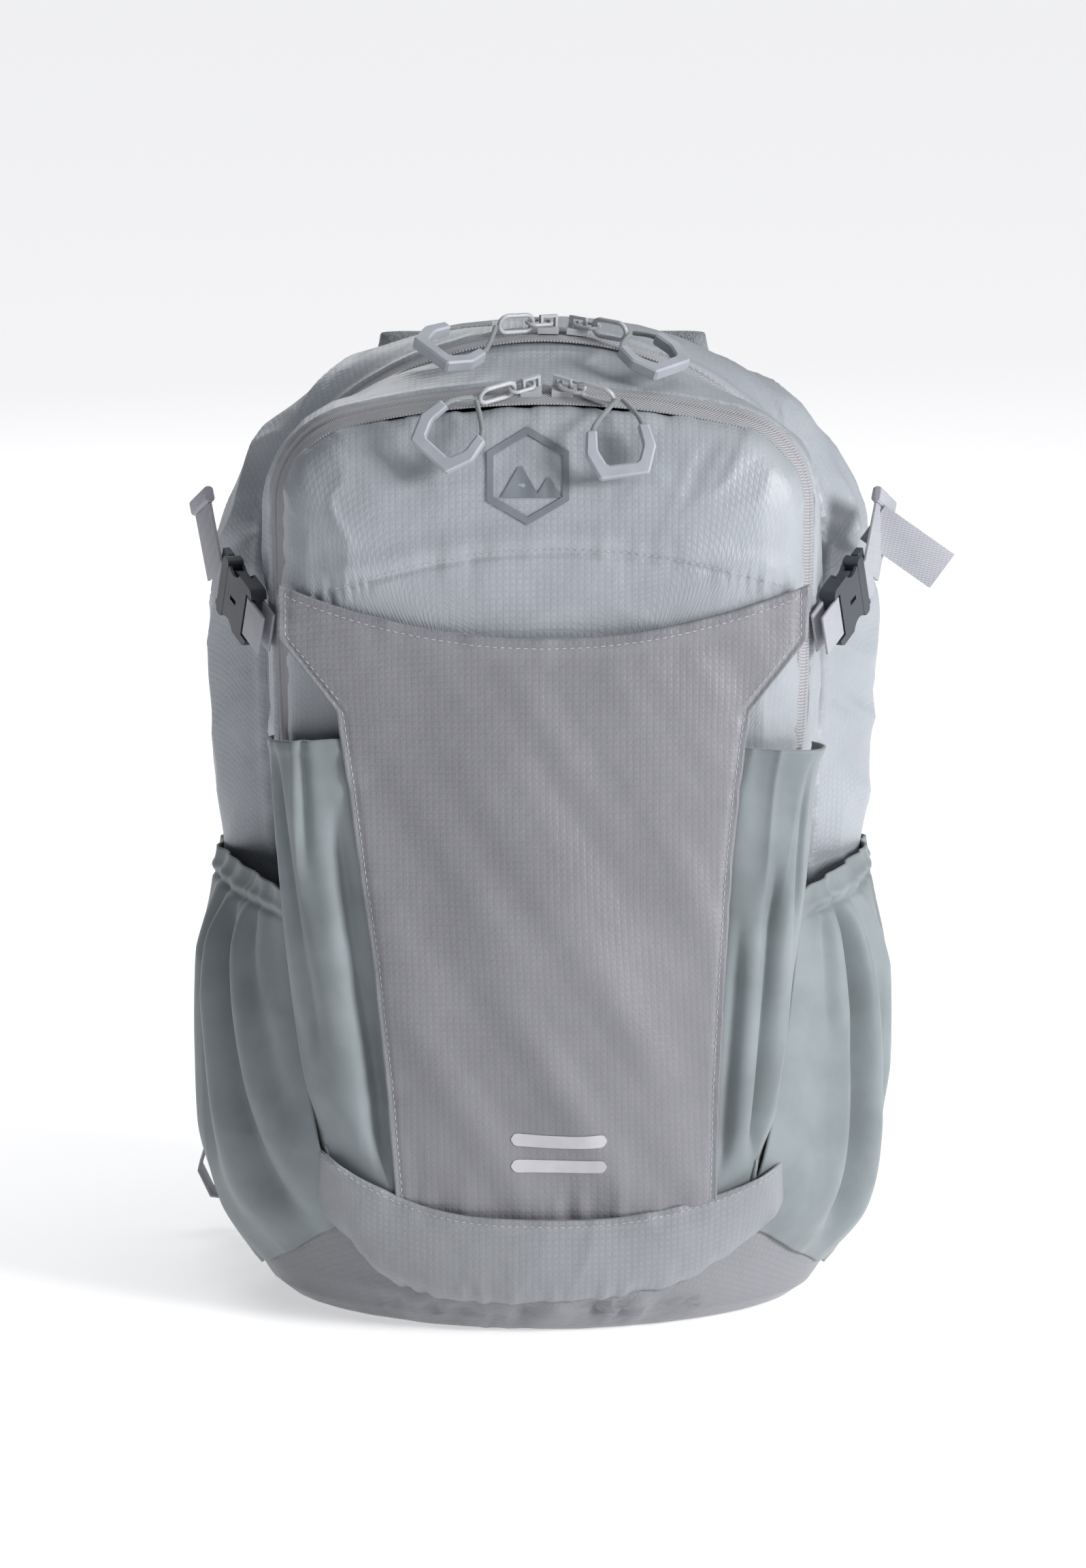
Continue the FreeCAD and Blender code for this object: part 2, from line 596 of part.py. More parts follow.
def make_socket():
    half, high, front, mouth = buckle_half_width, buckle_half_height, buckle_front, buckle_mouth
    slot_half = webbing_width / 2 + 1
    body = round_corners(box(front, mouth, -half, half, -high, high), 4.0)
    body = body.cut(box(front + bar_width, front + bar_width + slot_width, -slot_half, slot_half,
                        -high - 1, high + 1))
    for low, top in ((-high - 1, -bar_half_height), (bar_half_height, high + 1)):
        body = body.cut(box(front - 1, front + bar_width + 0.1, -slot_half, slot_half, low, top))
    body = body.cut(box(-13.5, mouth + 1, -half + 2.4, half - 2.4, -2.6, 2.6))
    for way in (-1, 1):
        body = body.cut(box(-8.0, mouth + 1, min(way * 10, way * (half + 1)),
                            max(way * 10, way * (half + 1)), -2.6, 2.6))
        body = body.cut(Part.makeCylinder(9.0, 20, V(1.5, way * (half + 5.5), -10)))
    return body.cut(box(-5.5, 1.5, -1.1, 1.1, 2.0, high + 1))


def make_plug():
    half, high = buckle_half_width, buckle_half_height
    start, slot_half = buckle_mouth + buckle_gap, webbing_width / 2 + 1
    block_end = buckle_end - bar_width - slot_width
    body = round_corners(box(start, block_end, -half, half, -high, high), 2.2)
    frame = box(block_end - 0.5, buckle_end, -half, half, -bar_half_height, bar_half_height)
    body = body.fuse(frame.cut(box(block_end, block_end + slot_width, -slot_half, slot_half, -5, 5)))
    body = body.fuse(box(-9.0, start + 1, -2.4, 2.4, -2.1, 2.1))
    arm = [(start + 1, 6.4), (start + 1, 9.6), (1.0, 13.6), (-5.5, 13.6), (-8.0, 10.4), (-4.6, 9.8),
           (0.4, 9.6)]
    for way in (-1, 1):
        face = polygon([V(x, way * y, -2.1) for x, y in arm])
        body = body.fuse(face.extrude(V(0, 0, 4.2)))
    return body.removeSplitter()


loop_height = bar_half_height + 0.6 + webbing_thickness / 2
plug_slot_x = buckle_end - bar_width - slot_width / 2
socket_slot_x = buckle_front + bar_width + slot_width / 2
strap_rise = 33.0
for name, side in sides:
    pull_out = V(side * 0.397, 0.849, 0.356)
    width_dir = V(side * -0.151, -0.323, 0.934) * side
    centre = V(side * 144, -34, 346)
    save("buckle_socket_" + name, placed(make_socket(), centre, pull_out, width_dir))
    save("buckle_plug_" + name, placed(make_plug(), centre, pull_out, width_dir))

    # The side strap loops round the plug's bar, then folds upwards to its sewn end.
    loop = ribbon([V(buckle_end + 3, 0, -loop_height), V(plug_slot_x, 0, -loop_height),
                   V(plug_slot_x, 0, loop_height), V(buckle_end + 3, 0, loop_height)],
                  webbing_thickness, webbing_width, V(0, 1, 0))
    loop = placed(loop, centre, pull_out, width_dir)
    face_dir = V(pull_out).cross(V(width_dir)).normalize()
    rise_dir = V(side * 0.16, 0.42, 0.89)
    rise_dir = (rise_dir - face_dir * rise_dir.dot(face_dir)).normalize()
    rise_from = centre + V(pull_out).normalize() * (buckle_end + 1) + face_dir * loop_height
    half_web, half_thin = webbing_width / 2, webbing_thickness / 2
    rise = placed(box(0, strap_rise, -half_web, half_web, -half_thin, half_thin), rise_from,
                  rise_dir, face_dir.cross(rise_dir))
    webbing = loop.fuse(rise)
    if side > 0:
        tail_from = rise_from + rise_dir * (strap_rise - 9)
        tail = placed(box(-4, 38, -half_web, half_web, -half_thin, half_thin), tail_from,
                      V(0.8, 0.12, -0.58), V(0.58, 0, 0.81))
        webbing = webbing.fuse(tail)
    save("compression_webbing_" + name, webbing)
    keeper = box(strap_rise + 0.2, strap_rise + 8, -half_web - 1, half_web + 1, -2.4, 2.4)
    keeper = keeper.makeFillet(2.0, [e for e in keeper.Edges if abs(e.tangentAt(0).y) > 0.9])
    save("strap_fold_" + name, placed(keeper, rise_from, rise_dir, face_dir.cross(rise_dir)))
    stub = ribbon([V(buckle_front - 13, 0, -loop_height), V(socket_slot_x, 0, -loop_height),
                   V(socket_slot_x, 0, loop_height), V(buckle_front - 15, 0, loop_height)],
                  webbing_thickness, webbing_width, V(0, 1, 0))
    save("flap_webbing_" + name, placed(stub, centre, pull_out, width_dir))
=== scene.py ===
import bpy, math
import numpy as np
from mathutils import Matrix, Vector
from mathutils.bvhtree import BVHTree


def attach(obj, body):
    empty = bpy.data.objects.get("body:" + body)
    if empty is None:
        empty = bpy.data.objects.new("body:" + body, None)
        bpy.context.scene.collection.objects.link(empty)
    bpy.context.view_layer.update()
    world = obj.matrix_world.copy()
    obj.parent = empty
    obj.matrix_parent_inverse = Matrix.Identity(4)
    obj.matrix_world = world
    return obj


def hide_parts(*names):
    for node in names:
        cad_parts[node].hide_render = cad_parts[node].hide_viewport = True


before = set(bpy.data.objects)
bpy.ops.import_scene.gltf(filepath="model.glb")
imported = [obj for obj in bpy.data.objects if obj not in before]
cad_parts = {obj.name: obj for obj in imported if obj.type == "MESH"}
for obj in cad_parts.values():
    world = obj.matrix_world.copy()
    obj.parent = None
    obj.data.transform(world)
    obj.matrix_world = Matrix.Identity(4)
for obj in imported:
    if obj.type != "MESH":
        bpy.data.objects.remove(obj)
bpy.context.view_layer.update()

mm = 0.001
sides = [("left", -1), ("right", 1)]
pulls = ["main_left", "main_right", "front_left", "front_right"]


# camera, looking slightly down at the front
viewing = {"distance": 3.0, "elevation": 11.0, "aimHeight": 0.2494, "frameHeight": 0.756}


def placeCamera():
    tilt = math.radians(viewing["elevation"])
    aim = Vector((0, 0, viewing["aimHeight"]))
    back = Vector((0, -math.cos(tilt), math.sin(tilt)))
    bpy.ops.object.camera_add(location=aim + back * viewing["distance"])
    camera = bpy.context.object
    camera.rotation_euler = (-back).to_track_quat("-Z", "Y").to_euler()
    camera.data.sensor_width = 36
    camera.data.lens = 36 * viewing["distance"] / viewing["frameHeight"]
    camera.data.clip_start, camera.data.clip_end = 0.05, 30
    bpy.context.scene.camera = camera


placeCamera()
print("camera placed")


# ------ shader helpers: sums on sockets are written as Python
class Wire:
    def __init__(self, finish, socket):
        self.finish, self.socket = finish, socket

    def maths(self, operation, first, second):
        return self.finish.node("ShaderNodeMath", {"operation": operation}, {0: first, 1: second})

    def __add__(self, other):
        return self.maths("ADD", self, other)

    def __sub__(self, other):
        return self.maths("SUBTRACT", self, other)

    def __rsub__(self, other):
        return self.maths("SUBTRACT", other, self)

    def __mul__(self, other):
        return self.maths("MULTIPLY", self, other)

    def __truediv__(self, other):
        return self.maths("DIVIDE", self, other)

    __radd__, __rmul__ = __add__, __mul__


class Finish:
    def __init__(self, name):
        self.material = bpy.data.materials.new(name)
        self.material.use_nodes = True
        self.tree = self.material.node_tree
        self.tree.nodes.clear()

    def node(self, kind, settings, sockets, output=0):
        made = self.tree.nodes.new(kind)
        for key, value in settings.items():
            if key == "stops":
                ramp = made.color_ramp
                while len(ramp.elements) < len(value):
                    ramp.elements.new(0.5)
                for element, (place, tone) in zip(ramp.elements, value):
                    element.position, element.color = place, (tone, tone, tone, 1)
            else:
                setattr(made, key, value)
        for key, value in sockets.items():
            if isinstance(value, Wire):
                self.tree.links.new(value.socket, made.inputs[key])
            else:
                made.inputs[key].default_value = value
        return Wire(self, made.outputs[output]) if made.outputs else None

    def axes(self, source="Object"):
        place = self.node("ShaderNodeTexCoord", {}, {}, source)
        parts = self.node("ShaderNodeSeparateXYZ", {}, {0: place})
        return place, [Wire(self, parts.socket.node.outputs[i]) for i in range(3)]

    def noise(self, place, scale, detail=3.0, rough=0.5):
        return self.node("ShaderNodeTexNoise", {}, {"Vector": place, "Scale": scale, "Detail": detail,
                                                    "Roughness": rough}, "Fac")

    def stretched(self, place, factors):
        return self.node("ShaderNodeMapping", {}, {"Vector": place, "Scale": factors})

    def ramp(self, value, low, high):
        return self.node("ShaderNodeMapRange", {"clamp": True, "interpolation_type": "SMOOTHSTEP"},
                         {0: value, 1: low, 2: high, 3: 0.0, 4: 1.0})

    def wave(self, value, pitch):
        return self.maths("SINE", value * (2 * math.pi / pitch), 0.0) * 0.5 + 0.5

    def maths(self, operation, first, second=0.0):
        return self.node("ShaderNodeMath", {"operation": operation}, {0: first, 1: second})

    def tooth(self, value, pitch, half, soft):
        # 1 inside a stripe of the given half width, in every pitch
        away = self.maths("ABSOLUTE", self.maths("FRACT", value / pitch) - 0.5)
        return 1 - self.ramp(away, half - soft, half + soft)

    def blend(self, factor, first, second):
        return self.node("ShaderNodeMix", {"data_type": "RGBA"}, {0: factor, 6: first, 7: second}, 2)

    def bump(self, height, distance, strength=1.0):
        return self.node("ShaderNodeBump", {}, {"Height": height, "Distance": distance,
                                                "Strength": strength})

    def shade(self, **sockets):
        names = {"colour": "Base Color", "roughness": "Roughness", "metallic": "Metallic",
                 "sheen": "Sheen Weight", "sheenRoughness": "Sheen Roughness", "coat": "Coat Weight",
                 "coatRoughness": "Coat Roughness", "normal": "Normal", "specular": "Specular IOR Level",
                 "anisotropy": "Anisotropic"}
        shader = self.node("ShaderNodeBsdfPrincipled", {},
                           {names[key]: value for key, value in sockets.items()})
        self.node("ShaderNodeOutputMaterial", {}, {"Surface": shader})
        return self.material


def tone(red, green, blue, gain=1.0):
    linear = [((c / 255 + 0.055) / 1.055) ** 2.4 if c > 10 else c / 255 / 12.92 for c in (red, green, blue)]
    return tuple(min(1.0, c * gain) for c in linear) + (1,)


# ------ finishes
# the gain sets how much lighter the grid squares are painted: a painted highlight on the cloth's own grid
ripstop = {"pitch": 3.15 * mm, "square": 0.31, "roughness": 0.36, "sheenGain": 1.26}


def ripstopFinish(name, colour, gridShare=1.0, roughness=None):
    f = Finish(name)
    place, axes = f.axes("UV")
    solid, _ = f.axes("Object")
    u, v = axes[0], axes[1]
    squares = f.tooth(u, ripstop["pitch"], ripstop["square"], 0.08) * f.tooth(v, ripstop["pitch"],
                                                                           ripstop["square"], 0.08)
    # noise patches where the grid squares are painted lighter, a painted highlight; the squares' bump and roughness
    # are the cloth's own pattern
    sheenPatches = f.ramp(f.noise(solid, 11.0, 2.0), 0.42, 0.64)
    grid = squares * (sheenPatches * 0.92 + 0.04) * gridShare
    mottled = f.noise(solid, 22.0, 4.0)
    dark = tuple(c * 0.90 for c in colour[:3]) + (1,)
    # lighter copy of the colour for the grid squares: painted highlight, not a lighter dye
    sheenTone = tuple(min(1, c * ripstop["sheenGain"]) for c in colour[:3]) + (1,)
    base = f.blend(f.ramp(mottled, 0.3, 0.7), dark, colour)
    base = f.blend(grid * 0.55, base, sheenTone)
    threads = f.wave(u, 0.42 * mm) * 0.5 + f.wave(v, 0.42 * mm) * 0.5
    slubs = f.noise(f.stretched(solid, (1.0, 1.0, 3.0)), 260.0, 3.0)
    crumple = f.noise(solid, 95.0, 4.0, 0.55)
    height = squares * 0.35 + threads * 0.10 + slubs * 0.30 + crumple * 2.6
    rough = (roughness or ripstop["roughness"]) + (1 - grid) * 0.05 + (mottled - 0.5) * 0.12
    return f.shade(colour=base, roughness=rough, normal=f.bump(height, 0.22 * mm, 0.9),
                   sheen=0.12, sheenRoughness=0.4, specular=0.55)


def stretchFinish():
    f = Finish("stretchWeave")
    _, axes = f.axes("UV")
    solid, _ = f.axes("Object")
    u, v = axes[0], axes[1]
    knit = f.wave(u + v * 0.5, 0.55 * mm) * 0.5 + f.wave(v - u * 0.4, 0.5 * mm) * 0.5
    mottled = f.noise(solid, 30.0, 4.0)
    base = f.blend(f.ramp(mottled, 0.3, 0.7), tone(110, 119, 122), tone(126, 135, 138))
    height = knit * 0.25 + f.noise(solid, 420.0, 3.0) * 0.4
    return f.shade(colour=base, roughness=0.60 + (mottled - 0.5) * 0.12,
                   normal=f.bump(height, 0.12 * mm, 0.8), sheen=0.30, sheenRoughness=0.45)


def tapeFinish():
    f = Finish("zipTape")
    _, axes = f.axes("UV")
    solid, _ = f.axes("Object")
    u, v = axes[0], axes[1]
    twill = f.wave(u + v, 1.5 * mm)
    soil = f.noise(solid, 60.0, 4.0)
    base = f.blend(twill * 0.75 + soil * 0.25, tone(118, 119, 124), tone(172, 173, 178))
    height = twill * 1.0 + f.wave(u - v, 0.5 * mm) * 0.15
    return f.shade(colour=base, roughness=0.66 + soil * 0.08, normal=f.bump(height, 0.25 * mm, 1.0),
                   sheen=0.2)


def webbingFinish():
    f = Finish("ribbedWebbing")
    _, axes = f.axes("UV")
    solid, _ = f.axes("Object")
    u, v = axes[0], axes[1]
    ribs = f.wave(u, 0.95 * mm)
    rows = f.wave(v, 1.9 * mm)
    soil = f.noise(solid, 90.0, 4.0)
    base = f.blend(ribs * 0.45 + rows * 0.15 + soil * 0.4, tone(134, 135, 143), tone(172, 174, 182))
    height = ribs * 0.6 + rows * 0.3
    return f.shade(colour=base, roughness=0.55 + soil * 0.1, normal=f.bump(height, 0.22 * mm, 0.9),
                   sheen=0.15)


def plainFinish(name, colour, roughness, grain=300.0, depth=0.03, metallic=0.0, coat=0.0, spread=0.12):
    f = Finish(name)
    solid, _ = f.axes("Object")
    worn = f.noise(solid, 70.0, 4.0)
    dark = tuple(c * (1 - spread) for c in colour[:3]) + (1,)
    base = f.blend(f.ramp(worn, 0.3, 0.7), dark, colour)
    return f.shade(colour=base, roughness=roughness + (worn - 0.5) * 0.14, metallic=metallic,
                   normal=f.bump(f.noise(solid, grain, 3.0), depth * mm), coat=coat)


def cordFinish():
    f = Finish("braidedCord")
    solid, axes = f.axes("Object")
    x, y, z = axes
    braid = f.wave(x + y * 0.6 + z, 1.1 * mm) * 0.5 + f.wave(z - x * 0.8 + y, 1.0 * mm) * 0.5
    base = f.blend(braid, tone(98, 104, 106), tone(150, 156, 158))
    return f.shade(colour=base, roughness=0.68, normal=f.bump(braid, 0.3 * mm), sheen=0.3)


def padFinish(name, colour):
    f = Finish(name)
    solid, axes = f.axes("Object")
    cells = f.node("ShaderNodeTexVoronoi", {"feature": "DISTANCE_TO_EDGE"},
                   {"Vector": solid, "Scale": 620.0}, "Distance")
    holes = f.ramp(cells, 0.05, 0.34)
    soil = f.noise(solid, 20.0, 3.0)
    dark = tuple(c * 0.74 for c in colour[:3]) + (1,)
    base = f.blend(holes * 0.8 + soil * 0.2, colour, dark)
    return f.shade(colour=base, roughness=0.75, normal=f.bump(1 - holes, 0.5 * mm), sheen=0.25)


shellFabric = ripstopFinish("shellRipstop", tone(150, 156, 163), 0.60)
panelFabric = ripstopFinish("panelRipstop", tone(124, 125, 130), 0.22, 0.38)
# kick band and base boot use darker copies of the shell ripstop: painted shade on the lower pieces, not a darker
# cloth
kickFabric = ripstopFinish("kickRipstopPaintedShade", tone(134, 137, 142), 0.45)
bootFabric = ripstopFinish("bootRipstopPaintedShade", tone(126, 128, 133), 0.40)
stretchFabric = stretchFinish()
tapeFabric = tapeFinish()
webbingFabric = webbingFinish()
padFabric = padFinish("airMesh", tone(120, 125, 130))
liningFabric = plainFinish("liningCloth", tone(140, 143, 148), 0.7, 500.0, 0.08)
boardPlastic = plainFinish("boardPlastic", tone(205, 204, 200), 0.55)
slatePlastic = plainFinish("slatePlastic", tone(50, 55, 62), 0.44, 420.0, 0.02)
gripPlastic = plainFinish("gripPlastic", tone(158, 162, 171), 0.46, 380.0, 0.02, coat=0.1)
zipMetal = plainFinish("paintedZinc", tone(172, 175, 179), 0.40, 260.0, 0.015, coat=0.15)
coilPlastic = plainFinish("coilNylon", tone(40, 42, 46), 0.5)
stitchThread = plainFinish("stitchThread", tone(178, 183, 188), 0.6, 900.0, 0.05)
cordFabric = cordFinish()
badgeFilm = plainFinish("badgeFilm", tone(112, 119, 127), 0.5)
reflector = plainFinish("reflectiveFilm", tone(186, 186, 190), 0.30, 700.0, 0.02, metallic=0.35)
print("finishes made")


# ------ mesh helpers, in millimetres until the mesh is made
def finishPiece(piece, material, body="pack", nodes=()):
    piece.data.materials.clear()
    piece.data.materials.append(material)
    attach(piece, body)
    if nodes:
        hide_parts(*nodes)
    return piece


def alone(piece):
    bpy.ops.object.select_all(action="DESELECT")
    piece.select_set(True)
    bpy.context.view_layer.objects.active = piece


def applyModifiers(piece):
    alone(piece)
    for modifier in list(piece.modifiers):
        bpy.ops.object.modifier_apply(modifier=modifier.name)


def softNoise(u, v, seed):
    table = np.random.RandomState(seed).uniform(-1, 1, (64, 64))
    i, j = np.floor(u).astype(int), np.floor(v).astype(int)
    fu, fv = u - i, v - j
    fu, fv = fu * fu * (3 - 2 * fu), fv * fv * (3 - 2 * fv)
    low = table[i % 64, j % 64] * (1 - fu) + table[(i + 1) % 64, j % 64] * fu
    high = table[i % 64, (j + 1) % 64] * (1 - fu) + table[(i + 1) % 64, (j + 1) % 64] * fu
    return low * (1 - fv) + high * fv


def creases(u, v, seed, sharp=2.0):
    bent = softNoise(u * 0.7 + 9, v * 0.7 + 4, seed + 50) * 0.6
    return (1 - np.abs(softNoise(u + bent, v + bent, seed))) ** sharp - 0.45


def gridNormals(grid, centre=(0, -5, 230)):
    across, along = np.gradient(grid, axis=1), np.gradient(grid, axis=0)
    normals = np.cross(across, along)
    normals /= np.linalg.norm(normals, axis=2, keepdims=True) + 1e-9
    middle = grid[grid.shape[0] // 2, grid.shape[1] // 2]
    facing = np.einsum("ijk,ijk->ij", normals, grid - np.array(centre))
    return normals * (1 if np.median(facing) > 0 else -1)


def pushed(grid, amount, centre=(0, -5, 230)):
    return grid + gridNormals(grid, centre) * amount[..., None]


def clothPiece(name, grid, material, wall=1.3, body="pack", nodes=(), centre=(0, -5, 230)):
    rows, cols = grid.shape[:2]
    index = np.arange(rows * cols).reshape(rows, cols)
    quads = np.stack([index[:-1, :-1], index[:-1, 1:], index[1:, 1:], index[1:, :-1]], -1).reshape(-1, 4)
    p = grid.reshape(-1, 3)
    middle = quads[len(quads) // 2 + cols // 2]
    normals = np.cross(p[quads[:, 1]] - p[quads[:, 0]], p[quads[:, 3]] - p[quads[:, 0]])
    if np.median(np.einsum("ij,ij->i", normals, p[quads[:, 0]] - np.array(centre))) < 0:
        quads = quads[:, ::-1]
    mesh = bpy.data.meshes.new(name)
    mesh.from_pydata((p * mm).tolist(), [], quads.tolist())
    step = np.linalg.norm(np.diff(grid, axis=1), axis=2)
    u = np.concatenate([np.zeros((rows, 1)), np.cumsum(step, axis=1)], axis=1)
    u -= u[:, cols // 2][:, None]
    rise = np.linalg.norm(np.diff(grid, axis=0), axis=2)
    v = np.concatenate([np.zeros((1, cols)), np.cumsum(rise, axis=0)], axis=0)
    flat = np.stack([u.reshape(-1), v.reshape(-1)], -1) * mm
    corners = np.empty(len(mesh.loops), int)
    mesh.loops.foreach_get("vertex_index", corners)
    layer = mesh.uv_layers.new(name="clothMap")
    layer.data.foreach_set("uv", flat[corners].reshape(-1).astype(np.float32))
    piece = bpy.data.objects.new(name, mesh)
    bpy.context.scene.collection.objects.link(piece)
    thick = piece.modifiers.new("wall", "SOLIDIFY")
    thick.thickness, thick.offset = wall * mm, -1
    applyModifiers(piece)
    bpy.ops.object.shade_smooth()
    return finishPiece(piece, material, body, nodes)


def clothSheet(piece):
    # reads the cloth's own map into an array; nothing is computed from it
    flat = np.empty(len(piece.data.loops) * 2, np.float32)
    piece.data.uv_layers["clothMap"].data.foreach_get("uv", flat)


def spline(xs, values, at):
    # smooth curve through values, with no overshoot to speak of
    xs, values = np.array(xs, float), np.array(values, float)
    if xs[0] > xs[-1]:
        xs, at = -xs, -at
    slopes = np.gradient(values, xs)
    i = np.clip(np.searchsorted(xs, at) - 1, 0, len(xs) - 2)
    span = xs[i + 1] - xs[i]
    t = np.clip((at - xs[i]) / span, 0, 1)
    a, b = values[i], values[i + 1]
    ma, mb = slopes[i] * span, slopes[i + 1] * span
    return (2 * t ** 3 - 3 * t ** 2 + 1) * a + (t ** 3 - 2 * t ** 2 + t) * ma \
        + (3 * t ** 2 - 2 * t ** 3) * b + (t ** 3 - t ** 2) * mb


# ------ the arched outlines that the bag is built on
def arch(top, half, crown, corner, foot, footZ=30.3, counts=(110, 55, 60)):
    reach, kx, cz = crown - corner, half - corner, top - crown
    kz = cz + math.sqrt(reach ** 2 - kx ** 2)
    lean, drop = half - foot, kz - footZ
    bow = (lean ** 2 + drop ** 2) / (2 * lean)
    climb = np.linspace(-math.asin(drop / bow), 0, counts[0], endpoint=False)
    meet = math.atan2(kz - cz, kx)
    turn = np.linspace(0, meet, counts[1], endpoint=False)
    over = np.linspace(meet, math.pi / 2, counts[2])
    x = np.concatenate([half - bow + bow * np.cos(climb), kx + corner * np.cos(turn), crown * np.cos(over)])
    z = np.concatenate([kz + bow * np.sin(climb), kz + corner * np.sin(turn), cz + crown * np.sin(over)])
    right = np.stack([x, z], -1)
    left = right[:-1] * [-1, 1]
    return np.concatenate([left, right[::-1]])


def archSideX(half, crown, corner, foot, top, z, footZ=30.3):
    kx, cz = half - corner, top - crown
    kz = cz + math.sqrt((crown - corner) ** 2 - kx ** 2)
    lean, drop = half - foot, kz - footZ
    bow = (lean ** 2 + drop ** 2) / (2 * lean)
    return half - bow + np.sqrt(bow ** 2 - (kz - z) ** 2)


def hoop(stations, ys, rows):
    outlines = np.stack([arch(*s) for s in stations])
    at = np.linspace(ys[0], ys[-1], rows)
    grid = np.empty((rows, outlines.shape[1], 3))
    for column in range(outlines.shape[1]):
        grid[:, column, 0] = spline(ys, outlines[:, column, 0], at)
        grid[:, column, 2] = spline(ys, outlines[:, column, 1], at)
    grid[..., 1] = at[:, None]
    return grid


def along(grid):
    # distance along the hoop and across it, in mm
    step = np.linalg.norm(np.diff(grid[grid.shape[0] // 2], axis=0), axis=1)
    run = np.concatenate([[0], np.cumsum(step)])
    run -= run[len(run) // 2]
    depth = np.abs(grid[:, 0, 1] - grid[0, 0, 1])
    return np.broadcast_to(run, grid.shape[:2]), np.broadcast_to(depth[:, None], grid.shape[:2])


# ------ main compartment
mainShape = {"puff": 1.6, "creaseDepth": 4.4, "pucker": 1.1, "lip": 1.2}


def makeMain():
    stations = [(468.5, 132.5, 152, 80, 106), (470.5, 148, 190, 106, 116), (470, 159, 215, 125, 126),
                (463, 156, 205, 118, 124), (455, 150, 195, 110, 120)]
    grid = hoop(stations, [-1.0, 14.0, 36.0, 60.0, 80.0], 64)
    run, depth = along(grid)
    share = depth / depth.max()
    puff = np.sin(np.pi * np.clip(share, 0, 1)) ** 0.8
    calm = 1 - 0.65 * np.exp(-(run / 100.0) ** 4)
    lift = mainShape["puff"] * puff
    lift = lift + mainShape["creaseDepth"] * calm * puff * creases(run / 46, depth / 34, 3, 2.4)
    lift += 1.3 * calm * puff * creases(run / 19 + depth / 40, depth / 46, 8, 2.0)
    seam = np.exp(-depth / 7.0)
    lift += mainShape["pucker"] * seam * softNoise(run / 5.2, depth / 9, 21)
    lift += mainShape["lip"] * np.exp(-((depth - 3.5) / 2.2) ** 2) - 1.0 * np.exp(-(depth / 1.2) ** 2)
    crease = np.exp(-((run - 205 - depth * 0.55) / 7.0) ** 2) + np.exp(-((run + 212 + depth * 0.35) / 8.0) ** 2)
    lift -= 2.6 * crease * puff
    lift -= 6.0 * np.clip((204 - grid[..., 2]) / 22, 0, 1) * np.clip(share * 4, 0, 1) \
        * np.clip((0.97 - share) * 8, 0, 1)
    grid = pushed(grid, lift)
    return clothPiece("mainShell", grid, shellFabric, 1.6, nodes=["main_gusset"])


mainShell = makeMain()


# ------ front compartment's gusset
gussetShape = {"crease": 2.6, "pucker": 0.9, "lip": 1.0}


def makeFrontGusset():
    stations = [(466.5, 131, 160, 75, 104), (464.5, 130.5, 190, 68, 101), (457, 129.5, 300, 56, 99),
                (450.5, 127.5, 400, 46, 97.5)]
    grid = hoop(stations, [-14.0, -24.0, -41.0, -56.0], 48)
    run, depth = along(grid)
    mid = np.sin(np.pi * depth / depth.max())
    lift = gussetShape["crease"] * mid * creases(run / 33, depth / 24, 31, 2.2)
    lift += 0.8 * mid * creases(run / 13, depth / 30, 38, 2.0)
    for edge in (depth, depth.max() - depth):
        lift += gussetShape["pucker"] * np.exp(-edge / 6) * softNoise(run / 4.6, edge / 9, 33)
        lift += gussetShape["lip"] * np.exp(-((edge - 3.0) / 2.0) ** 2) - 0.9 * np.exp(-(edge / 1.2) ** 2)
    lift += 2.0 * mid
    crown = np.exp(-(run / 125.0) ** 4)
    lift = lift * (1 - 0.6 * crown) - 2.2 * crown * mid
    grid = pushed(grid, lift)
    return clothPiece("frontGussetShell", grid, shellFabric, 1.6,
                      nodes=["front_gusset", "divider_panel"])


frontGussetShell = makeFrontGusset()


# ------ front dome
domeShape = {"foot": 24.0, "spineLow": 120.0, "spineHigh": 318.0, "spineHalf": 26.0}


